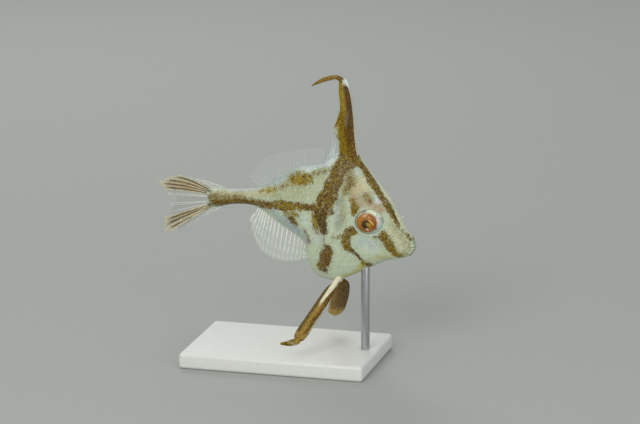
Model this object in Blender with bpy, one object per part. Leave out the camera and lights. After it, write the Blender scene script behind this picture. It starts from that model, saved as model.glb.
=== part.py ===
"""A juvenile triplespine at life size, held still on a plain display stand.

X runs forward to the snout, Y to the fish's left and Z up from the underside of the base.
Every length below is in millimetres and becomes metres when a mesh is made.
"""

import math

import bmesh
import bpy
from mathutils import Matrix, Vector

MM = 0.001
TAIL_X = -17.0
GAP = 0.3

# The body from the snout back: x and z of the upper edge, x and z of the lower edge,
# half the width, the height of the widest place as a share of the section, and how
# sharply the section closes towards its two ridges.
SECTIONS = (
    (16.85, 16.35, 16.85, 15.6, 0.45, 0.50, 0.8),
    (16.62, 16.95, 16.55, 15.05, 0.75, 0.50, 0.8),
    (16.25, 17.45, 15.85, 14.6, 0.95, 0.50, 0.9),
    (15.45, 18.55, 14.7, 14.25, 1.2, 0.50, 0.95),
    (14.67, 20.0, 13.4, 13.97, 1.45, 0.48, 1.05),
    (13.55, 22.05, 12.2, 13.45, 1.75, 0.48, 1.1),
    (12.13, 23.87, 11.0, 12.86, 2.1, 0.48, 1.15),
    (10.55, 25.97, 9.7, 12.2, 2.4, 0.48, 1.15),
    (9.22, 27.5, 8.25, 11.46, 2.55, 0.48, 1.2),
    (7.5, 27.6, 6.7, 10.86, 2.6, 0.48, 1.2),
    (6.0, 26.95, 5.1, 10.97, 2.5, 0.50, 1.2),
    (4.95, 25.98, 3.95, 11.48, 2.4, 0.50, 1.2),
    (3.8, 25.65, 3.27, 12.36, 2.25, 0.50, 1.2),
    (2.6, 25.5, 2.95, 13.7, 2.05, 0.50, 1.15),
    (1.4, 25.18, 2.62, 15.03, 1.85, 0.50, 1.15),
    (0.35, 24.66, 1.93, 16.13, 1.65, 0.48, 1.1),
    (-0.8, 23.95, 0.5, 17.06, 1.45, 0.46, 1.1),
    (-2.0, 23.15, -1.2, 18.2, 1.25, 0.46, 1.05),
    (-3.1, 22.5, -2.8, 19.35, 1.1, 0.48, 1.0),
    (-4.2, 22.15, -4.2, 19.95, 1.0, 0.50, 1.0),
    (-5.7, 21.98, -5.7, 20.05, 0.9, 0.50, 1.0),
    (-7.3, 21.88, -7.3, 19.9, 0.85, 0.50, 1.0),
    (-8.7, 21.9, -8.7, 19.55, 0.8, 0.50, 1.0),
    (-9.9, 21.55, -9.9, 19.5, 0.55, 0.50, 0.9),
)
RINGS_PER_SECTION = 3
BODY_SIDES = 28
EDGE_STEP = 0.05

# Where the head ends and where the stalk of the tail starts, from the back down.
HEAD_CUT = ((10.6, 30.0), (9.95, 26.6), (7.5, 19.1), (6.4, 16.7), (8.9, 12.0), (9.2, 8.0))
STALK_CUT = ((-4.3, 30.0), (-4.3, 8.0))
CUT_REACH = 24.0

EYE_X, EYE_Z = 11.3, 19.1
EYE_RADII = (1.5, 0.85, 1.4)
EYE_BULGE = 0.3
EYE_SPAN = 1.5
EYE_SIDES, EYE_RINGS = 20, 12
SOCKET_SIDES, SOCKET_RINGS = 24, 14
ORBIT_RADIUS, ORBIT_LIP, ORBIT_SINK, ORBIT_SIDES = 1.75, 0.24, 0.08, 28
NOSTRILS = ((13.58, 21.0), (14.2, 20.15))
NOSTRIL_RADIUS = 0.22
NOSTRIL_SIDES, NOSTRIL_RINGS = 8, 6

MOUTH_CORNER_X, MOUTH_Z = 15.65, 15.87
MOUTH_LINE, MOUTH_FRONT_X, MOUTH_HALF_WIDTH = 0.3, 18.0, 2.0
LIP_X, LIP_HALF_WIDTH, LIP_HALF_HEIGHT, LIP_ROLL, LIP_SIDES = 16.62, 0.55, 0.85, 0.3, 20
ROLL_SIDES = 8

GILL_TOP, GILL_END = (7.53, 19.1), (6.45, 16.7)
GILL_WIDTH, GILL_DEPTH = 0.5, 0.9

# The first dorsal spine in its skin: z, rear x, front x and half the thickness.
SPINE_ROOT = (
    (25.6, 7.5, 9.1, 0.55),
    (26.8, 7.3, 9.35, 0.75),
    (27.75, 7.0, 9.33, 0.78),
)
SPINE_SHEATH = (
    (27.75 + GAP, 6.95, 9.28, 0.77),
    (29.0, 6.8, 9.15, 0.74),
    (30.3, 6.23, 9.04, 0.7),
    (31.6, 6.62, 8.93, 0.66),
    (32.9, 7.0, 8.79, 0.6),
    (33.9, 7.0, 8.66, 0.56),
    (35.1, 6.87, 8.45, 0.5),
    (36.1, 6.87, 8.2, 0.42),
    (36.7, 6.98, 8.03, 0.33),
    (37.05, 7.3, 7.85, 0.2),
)
SPINE_LEAN = 0.3
# The flap of skin that trails from its tip: x, z, half its height and half its thickness.
SPINE_FLAP = (
    (7.5, 36.4, 0.36, 0.3),
    (7.05, 36.88, 0.32, 0.27),
    (6.45, 37.1, 0.28, 0.26),
    (5.6, 36.9, 0.3, 0.25),
    (4.75, 36.6, 0.28, 0.22),
    (3.95, 36.18, 0.19, 0.16),
    (3.35, 35.82, 0.08, 0.08),
)
ROOT_STEPS, SPINE_STEPS, SPINE_SIDES = 2, 3, 14

# Fins: for each ray named, where its root lies along the body's sections, and the
# x and z of its tip.
DORSAL_RAYS = (
    (11.25, 5.3, 28.1),
    (12.5, 3.6, 28.05),
    (14.0, 1.5, 27.65),
    (15.5, -0.5, 27.3),
    (16.8, -2.5, 26.6),
    (17.6, -3.8, 25.3),
    (18.15, -4.9, 23.5),
)
ANAL_RAYS = (
    (14.35, 2.9, 13.4),
    (14.9, 1.8, 13.1),
    (15.7, 0.4, 12.75),
    (16.5, -1.0, 12.8),
    (17.2, -2.4, 13.2),
    (17.8, -3.5, 14.2),
    (18.2, -4.3, 15.8),
    (18.5, -4.9, 18.2),
)
REAR_SPINES = (
    (9.95, 6.5, 28.9),
    (10.2, 6.1, 29.3),
    (10.5, 5.8, 28.1),
    (10.8, 5.5, 27.2),
    (11.1, 5.1, 26.5),
)
DORSAL_RAY_COUNT = 22
ANAL_RAY_COUNT = 17
REAR_SPINE_COUNT = 4
FIN_ROWS = 6
MEMBRANE, RAY = 0.5, 0.74
TIP_SHARE = 0.5
MEMBRANE_REACH = 0.93

# The tail fin from its upper edge round to its lower: root x, root z, tip x, tip z and
# how far the middle of the ray bows up.
CAUDAL_RAYS = (
    (-8.1, 22.3, -9.6, 22.7, 0.1),
    (-9.5, 22.2, -12.4, 23.15, 0.15),
    (-10.2, 21.7, -15.1, 23.2, 0.3),
    (-10.2, 21.45, TAIL_X, 22.25, 0.3),
    (-10.2, 21.1, -16.6, 21.5, 0.1),
    (-10.2, 20.75, -16.0, 20.75, 0.0),
    (-10.2, 20.4, -15.9, 20.1, 0.0),
    (-10.2, 20.1, -15.85, 19.2, 0.0),
    (-10.2, 19.85, -16.1, 17.85, 0.0),
    (-10.2, 19.6, -16.65, 16.5, 0.05),
    (-10.2, 19.35, -16.0, 15.6, 0.1),
    (-9.5, 19.1, -12.0, 16.8, -0.1),
    (-8.1, 19.35, -9.6, 18.6, -0.1),
)
CAUDAL_RAY_COUNT = 20

# The pectoral fin: root x and z on the flank, then tip x and z and how far the tip
# stands off the flank.
PECTORAL_RAYS = (
    (5.55, 17.3, 4.3, 18.9, 0.9),
    (5.6, 16.9, 3.5, 18.0, 1.1),
    (5.65, 16.5, 3.3, 17.0, 1.2),
    (5.6, 16.1, 3.7, 16.0, 1.1),
)
PECTORAL_RAY_COUNT = 10
PECTORAL_ROWS = 4
PECTORAL_LEAN = 0.35

# The pelvic spines: how far their tips lie from the hip, then for places along them the
# share of their length, the blade's reach before and behind its bone and half its thickness.
HIP = (6.9, 0.75, 11.0)
PELVIC_REACH = {-1: (-3.45, -6.3, -6.25), 1: (-2.4, 6.3, -6.7)}
HIP_STUB, HIP_RADIUS = (-0.9, 0.45), 0.4
PELVIC_RIGHT = (
    (0.0, 0.42, 0.42, 0.4),
    (0.12, 0.54, 0.48, 0.42),
    (0.3, 0.66, 0.56, 0.48),
    (0.6, 0.78, 0.68, 0.52),
    (0.85, 0.82, 0.8, 0.5),
    (0.96, 0.74, 0.72, 0.4),
    (1.0, 0.5, 0.42, 0.25),
)
PELVIC_LEFT = (
    (0.0, 1.1, 0.42, 0.4),
    (0.1, 1.35, 0.45, 0.45),
    (0.3, 1.48, 0.6, 0.5),
    (0.55, 1.42, 0.8, 0.5),
    (0.8, 1.2, 0.95, 0.46),
    (0.95, 0.7, 0.9, 0.38),
    (1.0, 0.2, 0.6, 0.25),
)
# The tag of skin on the right spine's tip: how far behind and below it, and half its thickness.
PELVIC_TAG = (
    (-0.3, -0.4, 0.3),
    (0.1, 0.2, 0.42),
    (0.9, 0.52, 0.42),
    (1.6, 0.66, 0.32),
    (2.3, 0.72, 0.26),
)
TAG_FLATNESS, TAG_STEPS = 0.8, 2

BASE_LENGTH, BASE_WIDTH, BASE_HEIGHT, BASE_EDGE = 24.0, 16.0, 2.0, 0.4
ROD_X, ROD_RADIUS, ROD_TOP = 10.4, 0.55, 13.4
ROD_SEAT, ROD_SIDES = 1.1, 24
SEAT_LOW = 5.0
BEVEL_STEPS = 2
SHARP_ANGLE = math.radians(40)

COLOURS = {
    "skin": ("#A9B8A0", 0.35, 0.0),
    "spine_skin": ("#6B5214", 0.45, 0.0),
    "fin": ("#C9D2CC", 0.3, 0.0),
    "tail_fin": ("#8A7434", 0.35, 0.0),
    "eye": ("#A9541A", 0.12, 0.0),
    "base": ("#D8D8D4", 0.55, 0.0),
    "rod": ("#B8BABC", 0.3, 1.0),
}


def clear_scene():
    for obj in list(bpy.data.objects):
        bpy.data.objects.remove(obj, do_unlink=True)


def new_collection(name):
    collection = bpy.data.collections.new(name)
    bpy.context.scene.collection.children.link(collection)
    return collection


def linear(hex_colour):
    """The linear red, green, blue and alpha of an sRGB hex colour."""
    shares = [int(hex_colour[i : i + 2], 16) / 255 for i in (1, 3, 5)]
    return [c / 12.92 if c <= 0.04045 else ((c + 0.055) / 1.055) ** 2.4 for c in shares] + [1.0]


def new_material(name, colour, roughness, metallic):
    material = bpy.data.materials.new(name)
    material.use_nodes = True
    shader = material.node_tree.nodes["Principled BSDF"]
    shader.inputs["Base Color"].default_value = linear(colour)
    shader.inputs["Roughness"].default_value = roughness
    shader.inputs["Metallic"].default_value = metallic
    return material


def add_object(name, bm, collection):
    """An object of this mesh, turned from millimetres to metres."""
    bmesh.ops.scale(bm, vec=(MM, MM, MM), verts=bm.verts)
    mesh = bpy.data.meshes.new(name)
    bm.to_mesh(mesh)
    bm.free()
    obj = bpy.data.objects.new(name, mesh)
    collection.objects.link(obj)
    return obj


def add_cutter(name, bm, cutters):
    obj = add_object(name, bm, cutters)
    obj.hide_render = True
    obj.display_type = "WIRE"
    return obj


def combine(target, operation, tools):
    """Joins to the target, or cuts from it, all these tool objects at once, and removes them."""
    group = bpy.data.collections.new("tools")
    bpy.context.scene.collection.children.link(group)
    for tool in tools:
        group.objects.link(tool)
    modifier = target.modifiers.new(operation.title(), "BOOLEAN")
    modifier.operation = operation
    modifier.operand_type = "COLLECTION"
    modifier.collection = group
    modifier.solver = "EXACT"
    graph = bpy.context.evaluated_depsgraph_get()
    mesh = bpy.data.meshes.new_from_object(target.evaluated_get(graph))
    target.modifiers.clear()
    target.data = mesh
    for tool in list(tools):
        bpy.data.objects.remove(tool, do_unlink=True)
    bpy.data.collections.remove(group)
    keep_largest(target)


def keep_largest(obj):
    """Drops every loose surface of the object but the largest."""
    bm = bmesh.new()
    bm.from_mesh(obj.data)
    left = set(bm.verts)
    surfaces = []
    while left:
        surface, edge = set(), [left.pop()]
        while edge:
            vert = edge.pop()
            surface.add(vert)
            for near in (link.other_vert(vert) for link in vert.link_edges):
                if near in left:
                    left.remove(near)
                    edge.append(near)
        surfaces.append(surface)
    surfaces.sort(key=len)
    for scrap in surfaces[:-1]:
        bmesh.ops.delete(bm, geom=list(scrap), context="VERTS")
    bm.to_mesh(obj.data)
    bm.free()


def row_at(rows, place):
    """The row of numbers at a place, counted in rows, on a smooth curve through them all."""
    last = len(rows) - 1
    i = min(int(place), last - 1)
    t = place - i
    a, b, c, d = (rows[min(max(i + k, 0), last)] for k in (-1, 0, 1, 2))
    return [
        q + 0.5 * t * (r - p + t * (2 * p - 5 * q + 4 * r - s + t * (3 * (q - r) + s - p)))
        for p, q, r, s in zip(a, b, c, d)
    ]


def smooth_rows(rows, steps):
    count = (len(rows) - 1) * steps
    return [row_at(rows, i / steps) for i in range(count + 1)]


def loft(rings):
    """A closed skin over rings of equally many points, with flat ends."""
    bm = bmesh.new()
    loops = [[bm.verts.new(point) for point in ring] for ring in rings]
    for near, far in zip(loops, loops[1:]):
        for i, vert in enumerate(near):
            bm.faces.new((near[i - 1], vert, far[i], far[i - 1]))
    bm.faces.new(loops[0])
    bm.faces.new(loops[-1])
    bmesh.ops.triangulate(bm, faces=bm.faces)
    bmesh.ops.recalc_face_normals(bm, faces=bm.faces)
    return bm


def oval(centre, wide, deep, front, rear, half_depth, lean=0.0):
    """A ring of points about a centre. Lean makes the side that leads along wide the thicker one."""
    ring = []
    for i in range(SPINE_SIDES):
        angle = math.tau * i / SPINE_SIDES
        reach = front if math.cos(angle) > 0 else rear
        depth = half_depth * math.sin(angle) * (1 + lean * math.cos(angle))
        ring.append(centre + wide * reach * math.cos(angle) + deep * depth)
    return ring


def body_ring(section):
    top_x, top_z, low_x, low_z, half_width, widest, ridge = section
    ring = []
    for i in range(BODY_SIDES):
        angle = math.tau * i / BODY_SIDES
        height = max(0.5 + 0.5 * math.cos(angle), 0.0) ** math.log(widest, 0.5)
        width = math.copysign(half_width * abs(math.sin(angle)) ** ridge, math.sin(angle))
        x = low_x + (top_x - low_x) * height
        z = low_z + (top_z - low_z) * height
        ring.append((x, width, z))
    return ring


def flank(x, z):
    """How far the skin stands out from the midplane beside this place."""
    near, far = 0.0, len(SECTIONS) - 1.0
    while far - near > 1e-4:
        middle = (near + far) / 2
        top_x, top_z, low_x, low_z = row_at(SECTIONS, middle)[:4]
        ahead = (x - low_x) * (top_z - low_z) - (z - low_z) * (top_x - low_x) > 0
        near, far = (near, middle) if ahead else (middle, far)
    top_x, top_z, low_x, low_z, half_width, widest, ridge = row_at(SECTIONS, near)
    height = min(max((z - low_z) / (top_z - low_z), 0.0), 1.0)
    turn = math.acos(2 * height ** (1 / math.log(widest, 0.5)) - 1)
    return half_width * math.sin(turn) ** ridge


def body_edge(place, upper, away):
    """A point this far outside the body's upper or lower edge, at a place along its sections."""
    first = 0 if upper else 2
    here = row_at(SECTIONS, place)[first : first + 2]
    behind = row_at(SECTIONS, place + EDGE_STEP)[first : first + 2]
    along = Vector((behind[0] - here[0], behind[1] - here[1])).normalized()
    out = Vector((along.y, -along.x)) if upper else Vector((-along.y, along.x))
    point = Vector(here) + out * away
    return Vector((point.x, 0.0, point.y))


def upright_wall(line, back):
    """A prism across the body that fills one side of a line cut from its back to its belly."""
    shift = -GAP / 2 if back else GAP / 2
    reach = -CUT_REACH if back else CUT_REACH
    near = [(x + shift, z) for x, z in line]
    outline = near + [(near[-1][0] + reach, near[-1][1]), (near[0][0] + reach, near[0][1])]
    return prism(outline, CUT_REACH)


def prism(outline, width):
    """An outline in X and Z, carried across the midplane."""
    bm = bmesh.new()
    face = bm.faces.new([bm.verts.new((x, -width / 2, z)) for x, z in outline])
    side = bmesh.ops.extrude_face_region(bm, geom=[face], use_keep_orig=True)
    moved = [part for part in side["geom"] if isinstance(part, bmesh.types.BMVert)]
    bmesh.ops.translate(bm, vec=(0, width, 0), verts=moved)
    bmesh.ops.recalc_face_normals(bm, faces=bm.faces)
    return bm


def ball(centre, radii, turn, segments, rings):
    bm = bmesh.new()
    bmesh.ops.create_uvsphere(bm, u_segments=segments, v_segments=rings, radius=1.0)
    place = Matrix.Translation(centre) @ Matrix.Rotation(turn, 4, "Z") @ Matrix.Diagonal((*radii, 1.0))
    bmesh.ops.transform(bm, matrix=place, verts=bm.verts)
    return bm


def ring_of(centre, radius, roll, turn, segments):
    """A round lip about the Y axis, turned about Z."""
    rings = []
    for i in range(segments):
        angle = math.tau * i / segments
        out = Vector((math.cos(angle), 0, math.sin(angle)))
        rings.append(
            [
                out * (radius + roll * math.cos(math.tau * k / ROLL_SIDES))
                + Vector((0, roll * math.sin(math.tau * k / ROLL_SIDES), 0))
                for k in range(ROLL_SIDES)
            ]
        )
    bm = bmesh.new()
    loops = [[bm.verts.new(point) for point in ring] for ring in rings]
    for i, far in enumerate(loops):
        near = loops[i - 1]
        for k in range(ROLL_SIDES):
            bm.faces.new((near[k - 1], near[k], far[k], far[k - 1]))
    bmesh.ops.triangulate(bm, faces=bm.faces)
    bmesh.ops.recalc_face_normals(bm, faces=bm.faces)
    place = Matrix.Translation(centre) @ Matrix.Rotation(turn, 4, "Z")
    bmesh.ops.transform(bm, matrix=place, verts=bm.verts)
    return bm


def box(low, high):
    bm = bmesh.new()
    bmesh.ops.create_cube(bm, size=1.0)
    sizes = [b - a for a, b in zip(low, high)]
    middle = [(a + b) / 2 for a, b in zip(low, high)]
    bmesh.ops.scale(bm, vec=sizes, verts=bm.verts)
    bmesh.ops.translate(bm, vec=middle, verts=bm.verts)
    return bm


def rod(x, low, high, radius):
    bm = bmesh.new()
    middle = Matrix.Translation((x, 0, (low + high) / 2))
    bmesh.ops.create_cone(
        bm,
        cap_ends=True,
        segments=ROD_SIDES,
        radius1=radius,
        radius2=radius,
        depth=high - low,
        matrix=middle,
    )
    return bm


def fin(rays, count, rows, place, across):
    """A closed fin whose rays are ridges in its own surface.

    place(s, t) is the middle of the fin at a share s along its root and t out to its tips,
    and across(s, t) is the direction of its thickness.
    """
    bm = bmesh.new()
    bmesh.ops.create_grid(bm, x_segments=2 * count, y_segments=rows, size=0.5)
    bmesh.ops.translate(bm, vec=(0.5, 0.5, -1.0), verts=bm.verts)
    bmesh.ops.triangulate(bm, faces=bm.faces)
    other = bmesh.ops.extrude_face_region(bm, geom=bm.faces[:], use_keep_orig=True)
    moved = [part for part in other["geom"] if isinstance(part, bmesh.types.BMVert)]
    bmesh.ops.translate(bm, vec=(0, 0, 2), verts=moved)
    for vert in bm.verts:
        s, t, side = vert.co
        on_ray = round(s * 2 * count) % 2 == 1
        thickness = (RAY if on_ray else MEMBRANE) * (1 - (1 - TIP_SHARE) * t * t)
        reach = t if on_ray else t * MEMBRANE_REACH
        row = s * (len(rays) - 1)
        vert.co = place(row, reach) + across(row, reach) * side * thickness / 2
    bmesh.ops.triangulate(bm, faces=[face for face in bm.faces if len(face.verts) > 3])
    bmesh.ops.recalc_face_normals(bm, faces=bm.faces)
    return bm


def midline_fin(rays, count, upper):
    """A fin that stands along the body's upper or lower edge."""

    def place(row, reach):
        root_place, tip_x, tip_z = row_at(rays, row)
        root = body_edge(root_place, upper, GAP)
        return root.lerp(Vector((tip_x, 0.0, tip_z)), reach)

    return fin(rays, count, FIN_ROWS, place, lambda row, reach: Vector((0, 1, 0)))


def caudal_fin():
    def place(row, reach):
        root_x, root_z, tip_x, tip_z, bow = row_at(CAUDAL_RAYS, row)
        point = Vector((root_x, 0.0, root_z)).lerp(Vector((tip_x, 0.0, tip_z)), reach)
        point.z += bow * math.sin(math.pi * reach)
        return point

    return fin(CAUDAL_RAYS, CAUDAL_RAY_COUNT, FIN_ROWS, place, lambda row, reach: Vector((0, 1, 0)))


def pectoral_fin(side):
    def place(row, reach):
        root_x, root_z, tip_x, tip_z, stand_off = row_at(PECTORAL_RAYS, row)
        x = root_x + (tip_x - root_x) * reach
        z = root_z + (tip_z - root_z) * reach
        off = GAP + RAY / 2 + stand_off * reach
        return Vector((x, side * (flank(x, z) + off), z))

    def across(row, reach):
        return Vector((PECTORAL_LEAN, side, 0.0)).normalized()

    return fin(PECTORAL_RAYS, PECTORAL_RAY_COUNT, PECTORAL_ROWS, place, across)


def spine_loft(rows, steps):
    rings = []
    for z, rear, front, half in smooth_rows(rows, steps):
        centre = Vector(((rear + front) / 2, 0, z))
        wide, deep = Vector((1, 0, 0)), Vector((0, 1, 0))
        reach = (front - rear) / 2
        rings.append(oval(centre, wide, deep, reach, reach, half, SPINE_LEAN))
    return loft(rings)


def spine_flap():
    points = smooth_rows(SPINE_FLAP, SPINE_STEPS)
    rings = []
    for i, (x, z, height, half) in enumerate(points):
        before, after = points[max(i - 1, 0)], points[min(i + 1, len(points) - 1)]
        along = Vector((after[0] - before[0], 0, after[1] - before[1])).normalized()
        across = along.cross(Vector((0, 1, 0)))
        rings.append(oval(Vector((x, 0, z)), across, Vector((0, 1, 0)), height, height, half))
    return loft(rings)


def pelvic_axes(side):
    """The hip, the whole reach of the spine, and the directions forward and through its blade."""
    hip = Vector((HIP[0], side * HIP[1], HIP[2]))
    reach = Vector(PELVIC_REACH[side])
    along = reach.normalized()
    blade = Vector((1, 0, 0)) - along * along.dot(Vector((1, 0, 0)))
    blade.normalize()
    return hip, reach, blade, along.cross(blade)


def hip_stub(side):
    """The root of a pelvic spine, fused with the belly."""
    hip, reach, blade, through = pelvic_axes(side)
    radii = (HIP_RADIUS,) * 3
    return loft([oval(hip + reach.normalized() * far, blade, through, *radii) for far in HIP_STUB])


def pelvic_spine(side, rows):
    hip, reach, blade, through = pelvic_axes(side)
    start = hip + reach.normalized() * (HIP_STUB[1] + GAP)
    whole = hip + reach - start
    rings = []
    for share, front, rear, half in smooth_rows(rows, SPINE_STEPS):
        rings.append(oval(start + whole * share, blade, through, front, rear, half))
    return loft(rings)


def pelvic_tag():
    """The tag of skin that trails back from the tip of the right spine."""
    hip, reach, blade, through = pelvic_axes(-1)
    points = []
    for back, below, half in smooth_rows(PELVIC_TAG, TAG_STEPS):
        points.append((hip + reach + Vector((-back, 0, -below)), half))
    rings = []
    for i, (centre, half) in enumerate(points):
        before, after = points[max(i - 1, 0)][0], points[min(i + 1, len(points) - 1)][0]
        along = (after - before).normalized()
        across = along.cross(Vector((0, 1, 0))).normalized()
        rings.append(oval(centre, across, along.cross(across), half, half, half * TAG_FLATNESS))
    return loft(rings)


def eye_place(side):
    """The centre of an eye and how far it turns forward with the cheek."""
    slope = (flank(EYE_X - EYE_SPAN, EYE_Z) - flank(EYE_X + EYE_SPAN, EYE_Z)) / (2 * EYE_SPAN)
    out = flank(EYE_X, EYE_Z) + EYE_BULGE - EYE_RADII[1]
    return Vector((EYE_X, side * out, EYE_Z)), -side * math.atan(slope)


def build_head(body, parts, cutters):
    head = body.copy()
    head.data = body.data.copy()
    head.name = "head"
    parts.objects.link(head)
    combine(head, "INTERSECT", [add_cutter("head_side", upright_wall(HEAD_CUT, False), cutters)])
    raised = [add_cutter("lips", lips(), cutters)]
    for side in (-1, 1):
        centre, turn = eye_place(side)
        rim = centre + Vector((0, side * (EYE_RADII[1] - EYE_BULGE - ORBIT_SINK), 0))
        orbit = ring_of(rim, ORBIT_RADIUS, ORBIT_LIP, turn, ORBIT_SIDES)
        raised.append(add_cutter("orbit", orbit, cutters))
    combine(head, "UNION", raised)
    low = (MOUTH_CORNER_X, -MOUTH_HALF_WIDTH, MOUTH_Z - MOUTH_LINE / 2)
    high = (MOUTH_FRONT_X, MOUTH_HALF_WIDTH, MOUTH_Z + MOUTH_LINE / 2)
    cut = [
        add_cutter("mouth", box(low, high), cutters),
        add_cutter("rod_seat", rod(ROD_X, SEAT_LOW, ROD_TOP + GAP, ROD_RADIUS + GAP), cutters),
    ]
    for side in (-1, 1):
        centre, turn = eye_place(side)
        socket = [radius + GAP for radius in EYE_RADII]
        hollow = ball(centre, socket, turn, SOCKET_SIDES, SOCKET_RINGS)
        cut.append(add_cutter("socket", hollow, cutters))
        for x, z in NOSTRILS:
            centre, radii = Vector((x, side * flank(x, z), z)), (NOSTRIL_RADIUS,) * 3
            hole = ball(centre, radii, 0.0, NOSTRIL_SIDES, NOSTRIL_RINGS)
            cut.append(add_cutter("nostril", hole, cutters))
        cut.append(add_cutter("gill", gill_groove(side), cutters))
    combine(head, "DIFFERENCE", cut)
    return head


def lips():
    """A soft rolled lip round the front of the snout."""
    bm = ring_of(Vector((0, 0, 0)), 1.0, LIP_ROLL, 0.0, LIP_SIDES)
    bmesh.ops.rotate(bm, matrix=Matrix.Rotation(math.pi / 2, 3, "Z"), verts=bm.verts)
    for vert in bm.verts:
        out = Vector((0, vert.co.y, vert.co.z)).normalized()
        ring = Vector((0, out.y * LIP_HALF_WIDTH, out.z * LIP_HALF_HEIGHT))
        vert.co += ring - out
    bmesh.ops.translate(bm, vec=(LIP_X, 0, MOUTH_Z), verts=bm.verts)
    return bm


def gill_groove(side):
    """The slot just before the root of the pectoral fin."""
    top, end = Vector((GILL_TOP[0], 0, GILL_TOP[1])), Vector((GILL_END[0], 0, GILL_END[1]))
    lean = math.atan2(top.x - end.x, top.z - end.z)
    middle = (top + end) / 2
    middle.y = side * flank(middle.x, middle.z)
    bm = bmesh.new()
    bmesh.ops.create_cube(bm, size=1.0)
    sizes = Matrix.Diagonal((GILL_WIDTH, 2 * GILL_DEPTH, (top - end).length, 1.0))
    place = Matrix.Translation(middle) @ Matrix.Rotation(lean, 4, "Y") @ sizes
    bmesh.ops.transform(bm, matrix=place, verts=bm.verts)
    return bm


def build_trunk(body, parts, cutters):
    trunk = body.copy()
    trunk.data = body.data.copy()
    trunk.name = "trunk"
    parts.objects.link(trunk)
    combine(trunk, "INTERSECT", [add_cutter("behind_head", upright_wall(HEAD_CUT, True), cutters)])
    combine(trunk, "INTERSECT", [add_cutter("before_stalk", upright_wall(STALK_CUT, False), cutters)])
    roots = [add_cutter("spine_root", spine_loft(SPINE_ROOT, ROOT_STEPS), cutters)]
    for side in (-1, 1):
        roots.append(add_cutter("hip", hip_stub(side), cutters))
    combine(trunk, "UNION", roots)
    return trunk


def build_stalk(body, parts, cutters):
    stalk = body.copy()
    stalk.data = body.data.copy()
    stalk.name = "tail_stalk"
    parts.objects.link(stalk)
    combine(stalk, "INTERSECT", [add_cutter("stalk_side", upright_wall(STALK_CUT, True), cutters)])
    return stalk


def build_stand(parts, cutters):
    base = box((-BASE_LENGTH / 2, -BASE_WIDTH / 2, 0), (BASE_LENGTH / 2, BASE_WIDTH / 2, BASE_HEIGHT))
    bmesh.ops.bevel(
        base,
        geom=base.edges[:],
        offset=BASE_EDGE,
        segments=BEVEL_STEPS,
        profile=0.5,
        affect="EDGES",
        material=-1,
    )
    stand_base = add_object("stand_base", base, parts)
    seat = rod(ROD_X, BASE_HEIGHT - ROD_SEAT, BASE_HEIGHT + 1, ROD_RADIUS + GAP)
    combine(stand_base, "DIFFERENCE", [add_cutter("base_seat", seat, cutters)])
    low = BASE_HEIGHT - ROD_SEAT + GAP
    stand_rod = add_object("stand_rod", rod(ROD_X, low, ROD_TOP, ROD_RADIUS), parts)
    return stand_base, stand_rod


def main():
    clear_scene()
    parts = new_collection("triplespine")
    cutters = new_collection("cutters")
    materials = {name: new_material(name, *look) for name, look in COLOURS.items()}

    rings = [body_ring(row) for row in smooth_rows(SECTIONS, RINGS_PER_SECTION)]
    body = add_cutter("body", loft(rings), cutters)
    made = [
        (build_head(body, parts, cutters), "skin"),
        (build_trunk(body, parts, cutters), "skin"),
        (build_stalk(body, parts, cutters), "skin"),
    ]
    bpy.data.objects.remove(body, do_unlink=True)

    dorsal_spine = add_object("dorsal_spine", spine_loft(SPINE_SHEATH, SPINE_STEPS), parts)
    combine(dorsal_spine, "UNION", [add_cutter("flap", spine_flap(), cutters)])
    made.append((dorsal_spine, "spine_skin"))

    rear_spines = midline_fin(REAR_SPINES, REAR_SPINE_COUNT, True)
    made.append((add_object("rear_dorsal_spines", rear_spines, parts), "fin"))
    soft_dorsal = midline_fin(DORSAL_RAYS, DORSAL_RAY_COUNT, True)
    made.append((add_object("soft_dorsal_fin", soft_dorsal, parts), "fin"))
    anal = midline_fin(ANAL_RAYS, ANAL_RAY_COUNT, False)
    made.append((add_object("anal_fin", anal, parts), "fin"))
    made.append((add_object("caudal_fin", caudal_fin(), parts), "tail_fin"))

    right_spine = add_object("pelvic_spine_right", pelvic_spine(-1, PELVIC_RIGHT), parts)
    combine(right_spine, "UNION", [add_cutter("tag", pelvic_tag(), cutters)])
    made.append((right_spine, "spine_skin"))
    left_spine = add_object("pelvic_spine_left", pelvic_spine(1, PELVIC_LEFT), parts)
    made.append((left_spine, "spine_skin"))

    for side, name in ((-1, "right"), (1, "left")):
        centre, turn = eye_place(side)
        eye = ball(centre, EYE_RADII, turn, EYE_SIDES, EYE_RINGS)
        made.append((add_object("eye_" + name, eye, parts), "eye"))
        made.append((add_object("pectoral_fin_" + name, pectoral_fin(side), parts), "fin"))

    stand_base, stand_rod = build_stand(parts, cutters)
    made.append((stand_base, "base"))
    made.append((stand_rod, "rod"))

    for obj, look in made:
        obj.hide_render = False
        obj.display_type = "TEXTURED"
        obj.data.materials.clear()
        obj.data.materials.append(materials[look])
        obj.data.shade_smooth()
        obj.data.set_sharp_from_angle(angle=SHARP_ANGLE)


main()
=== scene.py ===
"""A juvenile triplespine dressed as a life-size museum model on its plain display stand.

X runs forward to the snout, Y to the fish's left and Z up from the underside of the base.
Every length below is in millimetres and becomes metres when a mesh is made, apart from those
of the lights and the floor, which are in metres.
"""

import math
from functools import partial

import bmesh
import bpy
import numpy as np
from bpy.props import FloatProperty, FloatVectorProperty, IntProperty, PointerProperty
from mathutils import Matrix, Vector


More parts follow.
